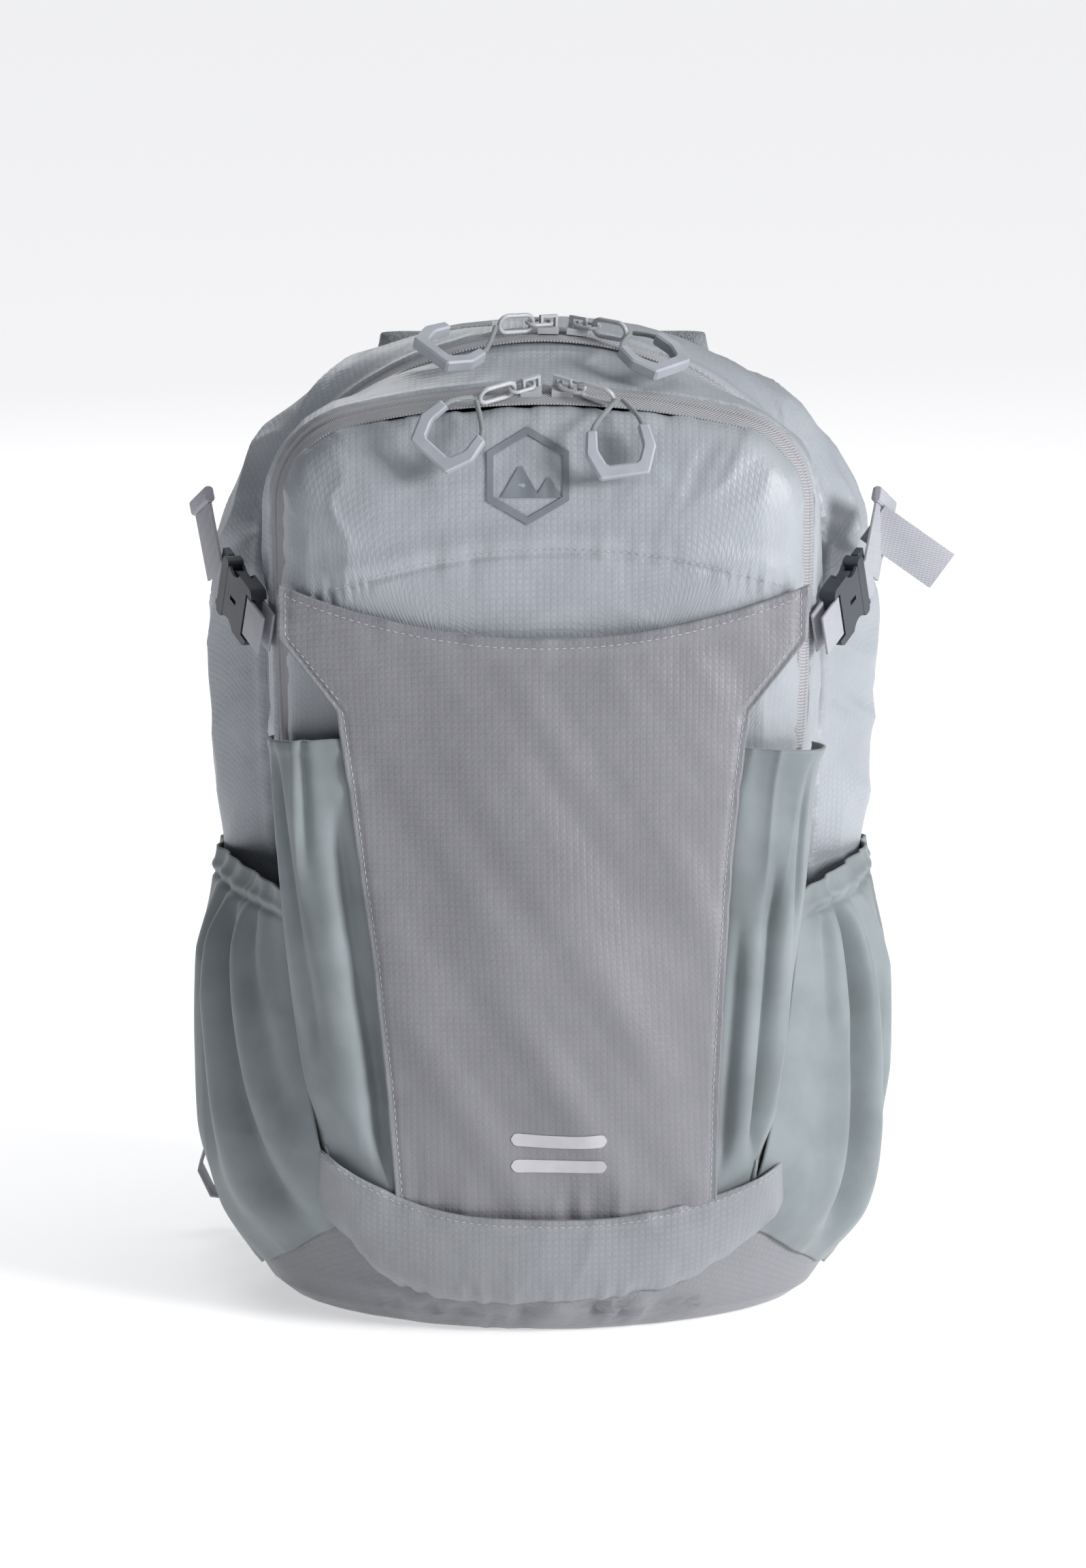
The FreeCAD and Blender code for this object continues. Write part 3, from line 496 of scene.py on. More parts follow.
def makeDome():
    rim = arch(444.5, 121.5, 394, 39, 91)
    rim = rim[::2]
    spineX = np.clip(rim[:, 0], -domeShape["spineHalf"], domeShape["spineHalf"])
    spineZ = np.clip(rim[:, 1], domeShape["spineLow"], domeShape["spineHigh"])
    rows = 120
    s = np.linspace(0, 1, rows) ** 1.35
    x = rim[:, 0] + (spineX - rim[:, 0]) * s[:, None]
    z = rim[:, 1] + (spineZ - rim[:, 1]) * s[:, None]
    reach = np.hypot(rim[:, 0] - spineX, rim[:, 1] - spineZ)
    depth = reach * s[:, None]
    y = -71.0 - 7.5 * (1 - np.exp(-depth / 3.2)) - 17.5 * (1 - np.exp(-depth / 26.0))
    tuck = np.clip((84 - z) / 44, 0, 1)
    x, y = x * (1 - 0.12 * tuck), y + 11.0 * tuck
    grid = np.stack([x, y, z], -1)
    step = np.linalg.norm(np.diff(rim, axis=0), axis=1)
    run = np.broadcast_to(np.concatenate([[0], np.cumsum(step)]), depth.shape)
    lift = 0.9 * np.exp(-depth / 11) * softNoise(run / 5.0, depth / 14, 61)
    lift += 1.2 * np.exp(-((depth - 22) / 20) ** 2) * creases(run / 17, depth / 34, 64, 2.0)
    lift += 1.6 * creases(x / 52 + z / 160, z / 46, 67, 2.0) * (1 - np.exp(-depth / 18))
    dart = domeArc(x)
    below = dart - z
    lift += 1.5 * np.exp(-((below + 7) / 6.0) ** 2) - 1.3 * np.exp(-(below / 1.6) ** 2)
    lift += 0.8 * np.exp(-np.abs(below) / 8) * softNoise(x / 5.5, z / 20, 71)
    lift -= 9.0 * np.clip((282 - z) / 26, 0, 1) * (1 - np.exp(-depth / 9))
    lift -= 3.0 * np.exp(-((x + 6) / 88) ** 4) * np.clip((z - 408) / 14, 0, 1)
    grid = pushed(grid, lift)
    return clothPiece("frontDome", grid, shellFabric, 1.6, nodes=["front_panel"])


def domeArc(x):
    return 377.0 - ((x - 8) / 112.0) ** 2 * 22.0


frontDome = makeDome()
print("compartments made")


# ------ stash panel
stashRows = {"z": [40, 62, 90, 120, 180, 240, 300, 335, 362], "half": [74, 76, 78, 80, 85, 90, 96, 118, 124],
             "centre": [-100, -101.5, -105, -109, -111.5, -110.5, -107.5, -104.5, -103],
             "edge": [-96, -97, -98.5, -100, -100.5, -99.5, -98, -91, -86]}
stashEdges = {"v": [0, 0.04, 0.22, 0.42, 0.54, 0.68, 0.80, 0.915, 1.0],
              "leftX": [-68, -69, -73.5, -80, -85.5, -91, -96.5, -123.5, -124],
              "rightX": [82, 82, 83, 86, 88, 92, 97, 123.5, 124],
              "edgeZ": [50, 62, 123, 187, 224, 268, 304, 336, 361],
              "middleZ": [50, 60, 115, 174, 208, 249, 283, 316, 338]}


def stashY(x, z):
    half = spline(stashRows["z"], stashRows["half"], z)
    centre = spline(stashRows["z"], stashRows["centre"], z)
    edge = spline(stashRows["z"], stashRows["edge"], z)
    return centre + (edge - centre) * (x / half) ** 2


def makeStash():
    rows, cols = 190, 150
    v = np.linspace(0, 1, rows)[:, None]
    u = np.linspace(-1, 1, cols)[None, :]
    left, right = (np.interp(v, stashEdges["v"], stashEdges[key]) for key in ("leftX", "rightX"))
    x = (left + right) / 2 + (right - left) / 2 * u
    edgeZ, middleZ = (np.interp(v, stashEdges["v"], stashEdges[key]) for key in ("edgeZ", "middleZ"))
    z = middleZ + (edgeZ - middleZ) * np.abs(u) ** 2.0
    x, z = np.broadcast_arrays(x, z)
    grid = np.stack([x, stashY(x, z), z], -1)
    fromTop = (1 - v) * 280 + 0 * u
    fromSide = (1 - np.abs(u)) * 92 + 0 * v
    lift = 2.6 * softNoise((x + z * 0.42) / 34 + 3, (z - x * 0.5) / 190, 81)
    lift += 1.3 * softNoise((x + z * 0.62) / 17, (z - x * 0.6) / 130, 82)
    lift = lift * (1 - np.exp(-fromSide / 14)) * (1 - np.exp(-fromTop / 10))
    lift += 0.7 * np.exp(-fromSide / 9) * softNoise(z / 7, x / 30, 84)
    lift += 0.9 * np.exp(-fromTop / 9) * softNoise(x / 8, z / 30, 86)
    lift += 0.9 * np.exp(-((fromTop - 5) / 3.5) ** 2) - 0.8 * np.exp(-((fromSide - 3.2) / 1.4) ** 2)
    low = z - 66
    lift += 0.9 * np.exp(-np.abs(low) / 16) * softNoise(x / 6, z / 30, 88)
    grid = pushed(grid, lift)
    return clothPiece("stashFront", grid, panelFabric, 1.5, nodes=["stash_panel"])


stashFront = makeStash()


# ------ plan outline of the bag's foot, by angle round its middle
def planOutline(front, half, crown, corner, rear):
    outline = arch(front, half, crown, corner, rear, -80.0)
    return np.stack([outline[:, 0], -outline[:, 1]], -1)


footPlans = {"z": [0, 3, 9, 20, 30, 45, 60],
             "plan": [(80, 116, 150, 60, 96), (86, 123, 158, 60, 102), (92, 131, 165, 60, 108),
                      (97, 139, 165, 61, 118), (99.5, 143, 165, 62, 122), (102, 147, 167, 62, 125),
                      (103, 149, 167, 62, 127)]}
footCentre = np.array([0.0, -5.0])
footAngles = np.linspace(-1.5 * math.pi + 0.9, 0.5 * math.pi - 0.9, 301)


def footRadii():
    table = []
    for plan in footPlans["plan"]:
        away = planOutline(*plan) - footCentre
        angle = np.arctan2(away[:, 1], away[:, 0])
        angle = np.where(angle > math.pi / 2, angle - 2 * math.pi, angle)
        order = np.argsort(angle)
        table.append(np.interp(footAngles, angle[order], np.hypot(*away.T)[order]))
    return np.array(table)


footTable = footRadii()


def footPoint(angle, z, out=0.0):
    z = np.clip(z, 0, 60)
    level = np.interp(z, footPlans["z"], np.arange(len(footPlans["z"])))
    low = np.clip(np.floor(level).astype(int), 0, len(footPlans["z"]) - 2)
    share = level - low
    place = np.clip(np.interp(angle, footAngles, np.arange(len(footAngles))), 0, len(footAngles) - 1.001)
    i = place.astype(int)
    w = place - i
    radius = (footTable[low, i] * (1 - w) + footTable[low, i + 1] * w) * (1 - share) \
        + (footTable[low + 1, i] * (1 - w) + footTable[low + 1, i + 1] * w) * share + out
    return footCentre[0] + np.cos(angle) * radius, footCentre[1] + np.sin(angle) * radius


# ------ base boot
bootShape = {"rim": 58.0, "gather": 3.8}


def makeBoot():
    outline = np.concatenate([planOutline(*footPlans["plan"][0])[::2]])
    loop = np.concatenate([outline, np.linspace(outline[-1], outline[0], 60)[1:]])
    angle = np.arctan2(loop[:, 1] - footCentre[1], loop[:, 0] - footCentre[0])
    rings = []
    for share in (0.02, 0.35, 0.7, 0.9):
        rings.append(np.column_stack([footCentre + (loop - footCentre) * share * 0.985,
                                      np.full(len(loop), 0.6 if share < 0.9 else 0.4)]))
    levels = np.concatenate([[0.35, 1.2, 3.0, 6.0], np.linspace(9, bootShape["rim"], 26)])
    for z in levels:
        plans = [np.interp(z, footPlans["z"], [p[k] for p in footPlans["plan"]]) for k in range(5)]
        ring = planOutline(*plans)[::2]
        ring = np.concatenate([ring, np.linspace(ring[-1], ring[0], 60)[1:]])
        rings.append(np.column_stack([ring, np.full(len(ring), z)]))
    grid = np.array(rings)
    x, y, z = grid[..., 0], grid[..., 1], grid[..., 2]
    front = np.clip((-y - 60) / 30, 0, 1)
    lift = bootShape["gather"] * front * np.exp(-((z - 12) / 8) ** 2) * np.clip((100 - np.abs(x)) / 40, 0, 1) \
        * (softNoise(x / 4.6, z / 14, 101) + 0.4 * softNoise(x / 2.3, z / 8, 102))
    lift += 0.6 * np.exp(-((z - 12) / 9) ** 2) * softNoise((x - y) / 13, z / 12, 104)
    lift += 1.4 * np.exp(-((z - 19) / 5) ** 2) * front
    lift[:4] = 0
    grid = pushed(grid, lift, (0, -5, 40))
    grid[..., 2] = np.maximum(grid[..., 2], 0.0)
    return clothPiece("bootShell", grid, bootFabric, 1.6, nodes=["base_boot"],
                      centre=(0, -5, 40))


bootShell = makeBoot()


# ------ kick band across the foot of the front
kickShape = {"x": [-106, -99, -87, -63, 0, 43, 78, 101, 116], "low": [66, 52, 32, 21, 19.5, 21.5, 29, 43, 66],
             "top": [90, 86.5, 79, 68, 60, 62, 69, 77, 84]}


def kickY(x, z):
    half = np.interp(z, [20, 58, 90], [92, 99, 106])
    centre = np.interp(z, [10, 30, 58, 90], [-102, -105.5, -109, -112])
    edge = np.interp(z, [10, 30, 58, 90], [-86, -88, -90, -90.5])
    return centre + (edge - centre) * np.abs(x / half) ** 2.4


def makeKick():
    rows, cols = 46, 200
    x = np.linspace(-107, 114, cols)[None, :]
    low, top = spline(kickShape["x"], kickShape["low"], x), spline(kickShape["x"], kickShape["top"], x)
    v = np.linspace(0, 1, rows)[:, None]
    z = low + (top - low) * v
    x = x + 0 * v
    y = kickY(x, z)
    y = y + 9.0 * np.exp(-(x + 107) / 3.5) + 9.0 * np.exp(-(114 - x) / 3.5)
    y = y + 5.0 * np.exp(-(1 - v) * (top - low) / 9) * np.clip((98 - np.abs(x)) / 24, 0, 1)
    grid = np.stack([x, y, z], -1)
    angle = np.arctan2(y - footCentre[1], x - footCentre[0])
    footX, footY = footPoint(angle, z, 1.8)
    weight = np.exp(-(v * (top - low)) / 7.0) * np.clip((56 - low) / 22, 0, 1)
    grid[..., 0] = grid[..., 0] * (1 - weight) + footX * weight
    grid[..., 1] = grid[..., 1] * (1 - weight) + footY * weight
    lowGap, topGap = v * (top - low), (1 - v) * (top - low)
    lift = 1.1 * np.exp(-lowGap / 9) * softNoise(x / 5, z / 12, 111)
    lift += 0.6 * np.exp(-topGap / 8) * softNoise(x / 7, z / 12, 113) + 0.9 * np.exp(-((topGap - 2.5) / 2.5) ** 2)
    lift += 0.9 * creases(x / 34, z / 40, 117, 2.0)
    lift = 0.8 + lift * np.clip((x + 104) / 8, 0, 1) * np.clip((111 - x) / 8, 0, 1)
    grid = pushed(grid, lift)
    return clothPiece("kickFront", grid, kickFabric, 1.5, nodes=["kick_band"])


kickFront = makeKick()


# ------ stretch gussets beside the stash panel
def frontZipSide(z):
    return archSideX(127, 400, 45, 97, 450, z)


def backSide(z):
    return archSideX(150, 195, 110, 120, 455, z)


gapeShape = {"left": 1.5, "right": 8.0}
# each fold: place at its foot and top, width, depth of the valley, height of the ridge beside it,
# and where it starts and ends, as shares of the cloth
gussetFolds = {"left": [(0.07, 0.12, 0.07, 6.0, 1.2, -0.2, 0.90), (0.34, 0.62, 0.06, 3.0, 2.2, 0.35, 1.05),
                        (0.62, 0.30, 0.05, 2.4, 2.0, 0.72, 1.1), (0.80, 0.86, 0.05, 3.0, 1.6, 0.0, 0.75)],
               "right": [(0.46, 0.30, 0.075, 7.5, 2.5, 0.10, 0.80), (0.10, 0.08, 0.05, 3.0, 0.8, -0.2, 0.7),
                         (0.72, 0.80, 0.06, 3.2, 1.8, -0.1, 0.6), (0.80, 0.50, 0.04, 2.0, 1.2, 0.55, 1.0)]}
pocketFolds = {"left": [(0.12, 0.31, 0.035, 9.0, 5.5, 0.0, 0.95), (0.30, 0.43, 0.05, 4.0, 3.0, 0.2, 1.0),
                        (0.04, 0.16, 0.028, 3.5, 2.2, 0.3, 1.02), (0.62, 0.60, 0.05, 3.5, 2.5, 0.0, 0.9),
                        (0.86, 0.76, 0.05, 3.0, 2.0, 0.1, 1.0)],
               "right": [(0.29, 0.19, 0.030, 10.0, 5.0, 0.0, 1.0), (0.14, 0.10, 0.03, 2.6, 2.0, 0.5, 1.0),
                         (0.42, 0.33, 0.04, 4.0, 3.0, 0.35, 1.02), (0.62, 0.60, 0.05, 3.5, 2.5, 0.0, 0.9),
                         (0.86, 0.76, 0.05, 3.0, 2.0, 0.1, 1.0)]}


def foldLines(u, v, folds):
    total = np.zeros(np.broadcast(u, v).shape)
    for low, high, width, valley, ridge, start, end in folds:
        line = low + (high - low) * v + 0.012 * np.sin(7 * v + low * 40)
        strength = np.clip((v - start) / 0.16, 0, 1) * np.clip((end - v) / 0.16, 0, 1)
        strength = strength * strength * (3 - 2 * strength)
        width = width * (0.75 + 0.5 * (1 - v))
        total += strength * (ridge * np.exp(-((u - line - width * 1.9) / (width * 1.5)) ** 2)
                             - valley * np.exp(-(np.abs(u - line) / width) ** 1.7)
                             + 0.5 * ridge * np.exp(-((u - line + width * 2.1) / (width * 1.6)) ** 2))
    return total


def quadBend(a, b, c, u):
    # plan arc through a, b and c
    return a * (1 - u) * (1 - 2 * u) + b * 4 * u * (1 - u) + c * u * (2 * u - 1)


def makeStretchGusset(name, side):
    rows, cols = 150, 90
    v, u = np.linspace(0, 1, rows)[:, None], np.linspace(0, 1, cols)[None, :]
    topZ = 286.0 if side < 0 else 283.0
    z = 40 + (topZ - 40 + (4.0 * (1 - u) if side < 0 else 3.0 * (1 - u))) * v
    inner = np.interp(z, [40, 62, 123, 187, 224, 268, 304], [64, 66, 70, 77, 82, 88, 93] if side < 0
                      else [78, 79, 80, 83, 85, 89, 94])
    outer = frontZipSide(z)
    bend = quadBend(inner, outer - 3.5, outer + 3.0, u)
    rear = np.interp(z, [190, 216], [-46.0, -67.0])
    depth = quadBend(-97.5 + 0 * z, -91.0 + 0 * z, rear, u)
    kickTop = spline(kickShape["x"], kickShape["top"], np.clip(side * bend, -106, 116))
    behind = np.clip((kickTop + 30 - z) / 30, 0, 1)
    behind = behind * behind * (3 - 2 * behind)
    depth = np.maximum(depth, depth * (1 - behind) + (kickY(bend, z) + 2.5) * behind)
    grid = np.stack([side * bend, depth, z], -1)
    angle = np.arctan2(depth - footCentre[1], side * bend - footCentre[0])
    footX, footY = footPoint(angle, z, 1.0)
    weight = np.exp(-((z - 40) / 13.0) ** 1.3)
    grid[..., 0] = grid[..., 0] * (1 - weight) + footX * weight
    grid[..., 1] = grid[..., 1] * (1 - weight) + footY * weight
    fold = foldLines(u, v, gussetFolds[name])
    fold += 1.3 * creases(u * 5, v * 1.6, 131 + side, 2.0)
    edges = np.clip(u / 0.05, 0, 1) * np.clip((1 - u) / 0.12, 0, 1)
    fold = fold * edges * (1 - behind) - 2.0 * behind + gapeShape[name] * np.sin(np.pi * u) * np.exp(-(topZ - z) / 16)
    fold += 0.7 * np.exp(-((topZ - z - 2) / 2.5) ** 2) - 0.4
    grid = pushed(grid, fold)
    return clothPiece("stretchGusset_" + name, grid, stretchFabric, 1.1,
                      nodes=["stretch_gusset_" + name])


# ------ side pockets with a gathered hem
pocketShape = {"hemTop": 212.0, "pleats": 6.0, "pleatDepth": 3.2, "draw": 11.0}


def makePocket(name, side):
    rows, cols = 170, 180
    v, u = np.linspace(0, 1, rows)[:, None], np.linspace(0, 1, cols)[None, :]
    low = np.interp(u, [0, 0.1, 0.2, 0.34, 0.5, 1.0], [54, 43, 32, 20, 14, 16])
    topZ = pocketShape["hemTop"] + 2.0 * np.sin(np.pi * u) - 2.0 * (1 - u) ** 2
    z = low + (topZ - low) * v
    front = np.interp(z, [20, 56, 89, 150, 212], [97, 100, 104, 114, 122.5])
    frontY = np.interp(z, [20, 56, 89, 150, 212], [-89.5, -88.5, -87.5, -76, -60])
    reach = spline([10, 30, 60, 120, 165, 200, 213], [141, 149, 158.5, 164, 163, 158.5, 156.5], z)
    rear = backSide(z) + 1.8
    x = quadBend(front, reach + 6.0, rear, u * 0.98 + 0.01)
    x = np.minimum(x, reach + 1.5 - 0.02 * (x - reach))
    x = x - pocketShape["draw"] * np.sin(np.pi * np.clip(u / 0.62, 0, 1)) * np.exp(-(np.clip(topZ - z, 0, None) / 24) ** 1.5)
    y = quadBend(frontY, (frontY + 79) / 2 - 2, 79.0 + 0 * z, u)
    grid = np.stack([side * x, y, z], -1)
    angle = np.arctan2(y - footCentre[1], side * x - footCentre[0])
    angle = np.where(angle > math.pi / 2, angle - 2 * math.pi, angle)
    footX, footY = footPoint(angle, z, 1.8)
    weight = np.exp(-((z - low) / 16.0) ** 1.3)
    grid[..., 0] = grid[..., 0] * (1 - weight) + footX * weight
    grid[..., 1] = grid[..., 1] * (1 - weight) + footY * weight
    span = u * 150
    hem = topZ - z
    gather = np.exp(-hem / 26)
    phase = 2 * np.pi * pocketShape["pleats"] * u + 0.7 * np.sin(5 * u + side)
    fold = pocketShape["pleatDepth"] * gather * (1 - 0.55 * u) * (0.5 + 0.5 * np.cos(phase) - 0.6)
    fold = fold + 1.1 * np.exp(-((hem - 9) / 2.0) ** 2) - 1.6 * np.exp(-((hem - 12.5) / 1.6) ** 2)
    fold = fold + foldLines(u, v, pocketFolds[name])
    fold += 1.2 * creases(u * 7 + v, v * 2.4, 141 + side, 2.0)
    edge = (1 - np.exp(-span / 7)) * (1 - np.exp(-(z - low) / 9))
    fold = fold * edge + 0.8 * np.exp(-(z - low) / 6) * softNoise(span / 5, v * 3, 147)
    grid = pushed(grid, fold)
    return clothPiece("sidePocket_" + name, grid, stretchFabric, 1.1,
                      nodes=["side_pocket_" + name, "pocket_hem_" + name])


stretchGussets, sidePockets = {}, {}
for sideName, side in sides:
    stretchGussets[sideName] = makeStretchGusset(sideName, side)
    sidePockets[sideName] = makePocket(sideName, side)
    clothSheet(stretchGussets[sideName])
    clothSheet(sidePockets[sideName])
clothSheet(stashFront)
clothSheet(kickFront)
print("pockets made")


# ------ zips: two tape halves that meet over the coil
def makeZip(name, stations, ys, node, cut):
    grid = hoop(stations, ys, 30)
    run, depth = along(grid)
    middle = depth.max() / 2
    away = np.abs(depth - middle)
    lift = 0.9 * np.exp(-((away - 2.4) / 2.0) ** 2) - 1.1 * np.exp(-(away / 0.7) ** 2) + 0.1
    grid = pushed(grid, lift)
    keep = grid[grid.shape[0] // 2, :, 2] > cut
    first, last = np.flatnonzero(keep)[[0, -1]]
    return clothPiece(name, grid[:, first:last + 1], tapeFabric, 0.9, nodes=[node])


mainTape = makeZip("mainTape", [(468.6, 132.2, 152, 80, 106), (467.6, 132, 152, 80, 106),
                                (467.0, 131.8, 154, 79, 105.5)], [6.0, -7.5, -21.0],
                   "main_zip_track", 60)
frontTape = makeZip("frontTape", [(450.6, 127.6, 400, 46, 97.6), (447, 124.2, 397, 42, 94.2),
                                  (443.6, 120.8, 394, 39, 91)], [-54.0, -63.0, -72.0],
                    "front_zip_track", 60)


def makeCoilGap(x0, x1):
    # bare coil in the gap between the main sliders
    grid = hoop([(468.2, 132, 152, 80, 106), (467.6, 132, 152, 80, 106), (467.2, 132, 153, 80, 106)],
                [-5.2, -7.5, -9.8], 12)
    inside = (grid[0, :, 0] > x0) & (grid[0, :, 0] < x1) & (grid[0, :, 2] > 400)
    first, last = np.flatnonzero(inside)[[0, -1]]
    grid = pushed(grid[:, first - 1:last + 2], 1.0 + 0 * grid[:, first - 1:last + 2, 0])
    return clothPiece("coilGap", grid, coilPlastic, 0.7)


coilGap = makeCoilGap(6.5, 12.5)
print("zips made")


# ------ pieces taken from the CAD solids, then softened
def nodeCopy(node, name):
    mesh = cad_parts[node].data.copy()
    mesh.name = name
    piece = bpy.data.objects.new(name, mesh)
    bpy.context.scene.collection.objects.link(piece)
    alone(piece)
    bpy.ops.object.mode_set(mode="EDIT")
    bpy.ops.mesh.select_all(action="SELECT")
    bpy.ops.mesh.remove_doubles(threshold=0.00001)
    bpy.ops.mesh.dissolve_limited(angle_limit=0.01)
    bpy.ops.object.mode_set(mode="OBJECT")
    return piece


def flatMap(piece, lengthwise, crosswise):
    a, b = Vector(lengthwise).normalized(), Vector(crosswise).normalized()
    layer = piece.data.uv_layers.get("clothMap") or piece.data.uv_layers.new(name="clothMap")
    for loop in piece.data.loops:
        place = piece.data.vertices[loop.vertex_index].co
        layer.data[loop.index].uv = (place.dot(a), place.dot(b))


def webbingPiece(node, lengthwise, crosswise, body="pack", bevel=0.35):
    piece = nodeCopy(node, node + "_cloth")
    rounded = piece.modifiers.new("edges", "BEVEL")
    rounded.width, rounded.segments, rounded.limit_method = bevel * mm, 2, "ANGLE"
    rounded.angle_limit = math.radians(25)
    applyModifiers(piece)
    bpy.ops.object.shade_smooth_by_angle(angle=math.radians(35))
    flatMap(piece, lengthwise, crosswise)
    return finishPiece(piece, webbingFabric, body, [node])


padShape = {"voxel": 5.0 * mm, "pressure": 4.0, "cap": 7.0 * mm, "frames": 20}


def puffedPad(node, name, material, shrink=0.94):
    piece = nodeCopy(node, name)
    middle = sum((Vector(c) for c in piece.bound_box), Vector()) / 8
    rough = piece.modifiers.new("voxels", "REMESH")
    rough.mode, rough.voxel_size = "VOXEL", padShape["voxel"]
    applyModifiers(piece)
    start = [v.co.copy() for v in piece.data.vertices]
    scene = bpy.context.scene
    soft = piece.modifiers.new("air", "CLOTH")
    soft.settings.use_pressure = True
    soft.settings.uniform_pressure_force = padShape["pressure"]
    soft.settings.effector_weights.gravity = 0
    soft.settings.quality = 5
    soft.settings.tension_stiffness = soft.settings.compression_stiffness = 25
    for step in range(1, padShape["frames"] + 1):
        scene.frame_set(step)
    grown = piece.evaluated_get(bpy.context.evaluated_depsgraph_get()).data
    for vertex, moved, rest in zip(piece.data.vertices, grown.vertices, start):
        travel = moved.co - rest
        if travel.length > padShape["cap"]:
            travel *= padShape["cap"] / travel.length
        vertex.co = rest + travel
    piece.modifiers.remove(soft)
    scene.frame_set(1)
    for vertex in piece.data.vertices:
        vertex.co = middle + (vertex.co - middle) * shrink
    finer = piece.modifiers.new("finer", "SUBSURF")
    finer.levels = finer.render_levels = 1
    applyModifiers(piece)
    bpy.ops.object.shade_smooth()
    finishPiece(piece, material, "pack", [node])
    return piece


for sideName, side in sides:
    puffedPad("back_pad_" + sideName, "backPad_" + sideName, padFabric)
    puffedPad("shoulder_strap_" + sideName, "shoulderStrap_" + sideName, padFabric, 1.0)
    webbingPiece("strap_webbing_" + sideName, (0.3, 0, 1), (0, 1, 0))
    webbingPiece("flap_webbing_" + sideName, (side * 0.397, 0.849, 0.356), (side * -0.151, -0.323, 0.934))
    webbingPiece("compression_webbing_" + sideName, (side * 0.16, 0.42, 0.89), (0.95, 0.2, -0.2),
                 "plug_" + sideName)
    fold = webbingPiece("strap_fold_" + sideName, (side * 0.16, 0.42, 0.89), (0.95, 0.2, -0.2),
                        "plug_" + sideName, 0.6)
puffedPad("lumbar_pad", "lumbarPad", padFabric)
webbingPiece("strap_anchors", (1, 0, 0), (0, 1, 0))
webbingPiece("haul_loop", (1, 0, 0), (0, 0, 1), "haul")
backSheet = webbingPiece("back_panel", (1, 0, 0), (0, 0, 1), "pack", 0.8)
backSheet.data.materials[0] = shellFabric
sleeveSheet = webbingPiece("laptop_sleeve", (1, 0, 0), (0, 0, 1), "pack", 0.5)
sleeveSheet.data.materials[0] = liningFabric
print("pads and webbing made")


# ------ zip pull cords: the route's points, in metres
cordRoutes = {
    "main_left": [(-.0223, -.0245, .4738), (-.0244, -.0350, .4680), (-.0280, -.0442, .4631),
                  (-.0348, -.0527, .4604), (-.0444, -.0571, .4603), (-.0572, -.0464, .4685),
                  (-.0533, -.0373, .4722), (-.0446, -.0305, .4737), (-.0352, -.0260, .4749),
                  (-.0242, -.0229, .4751)],
    "main_right": [(.0427, -.0236, .4707), (.0487, -.0268, .4704), (.0530, -.0315, .4697),
                   (.0615, -.0369, .4647), (.0651, -.0453, .4595), (.0520, -.0582, .4567),
                   (.0427, -.0555, .4606), (.0362, -.0482, .4661), (.0377, -.0376, .4680),
                   (.0407, -.0255, .4703)],
    "front_left": [(-.0309, -.0797, .4456), (-.0285, -.0894, .4378), (-.0278, -.0984, .4313),
                   (-.0344, -.1009, .4227), (-.0440, -.1015, .4184), (-.0574, -.0957, .4300),
                   (-.0537, -.0926, .4393), (-.0450, -.0909, .4462), (-.0398, -.0845, .4474),
                   (-.0329, -.0788, .4473)],
    "front_right": [(.0368, -.0791, .4463), (.0425, -.0857, .4418), (.0460, -.0925, .4371),
                    (.0490, -.0962, .4269), (.0464, -.0999, .4174), (.0280, -.1018, .4152),
                    (.0226, -.0988, .4237), (.0223, -.0949, .4341), (.0271, -.0873, .4399),
                    (.0340, -.0794, .4460)],
}
cordWidth = 2.4 * mm


def makeCord(name):
    curve = bpy.data.curves.new("pullCord_" + name, "CURVE")
    curve.dimensions = "3D"
    curve.bevel_depth, curve.bevel_resolution, curve.resolution_u = cordWidth / 2, 4, 12
    curve.use_fill_caps = True
    line = curve.splines.new("NURBS")
    line.points.add(len(cordRoutes[name]) - 1)
    for point, place in zip(line.points, cordRoutes[name]):
        point.co = (*place, 1)
    line.order_u = 3
    line.use_endpoint_u = True
    piece = bpy.data.objects.new("pullCord_" + name, curve)
    bpy.context.scene.collection.objects.link(piece)
    curve.materials.append(cordFabric)
    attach(piece, "pull_" + name)
    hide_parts("pull_cord_" + name)
    return piece


for name in pulls:
    makeCord(name)
print("cords made")

# ------ CAD nodes that keep their shape
nodeFinishes = {"zip_slider": zipMetal, "zip_bail": zipMetal, "pull_ring": zipMetal, "pull_grip": gripPlastic,
                "buckle": slatePlastic, "ladder_lock": slatePlastic, "frame_sheet": boardPlastic,
                "base_board": boardPlastic}
for node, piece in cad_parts.items():
    for start, material in nodeFinishes.items():
        if node.startswith(start):
            for slotPlace in piece.material_slots:
                slotPlace.material = material


# ------ lines of stitches laid on a surface, seen from the front
def surfaceOf(*pieces):
    graph = bpy.context.evaluated_depsgraph_get()
    verts, faces = [], []
    for piece in pieces:
        mesh = piece.evaluated_get(graph).data
        offset = len(verts)
        verts += [piece.matrix_world @ v.co for v in mesh.vertices]
        faces += [[i + offset for i in polygon.vertices] for polygon in mesh.polygons]
    return BVHTree.FromPolygons(verts, faces)


stitch = {"length": 2.3, "gap": 1.3, "width": 0.44, "lift": 0.12}


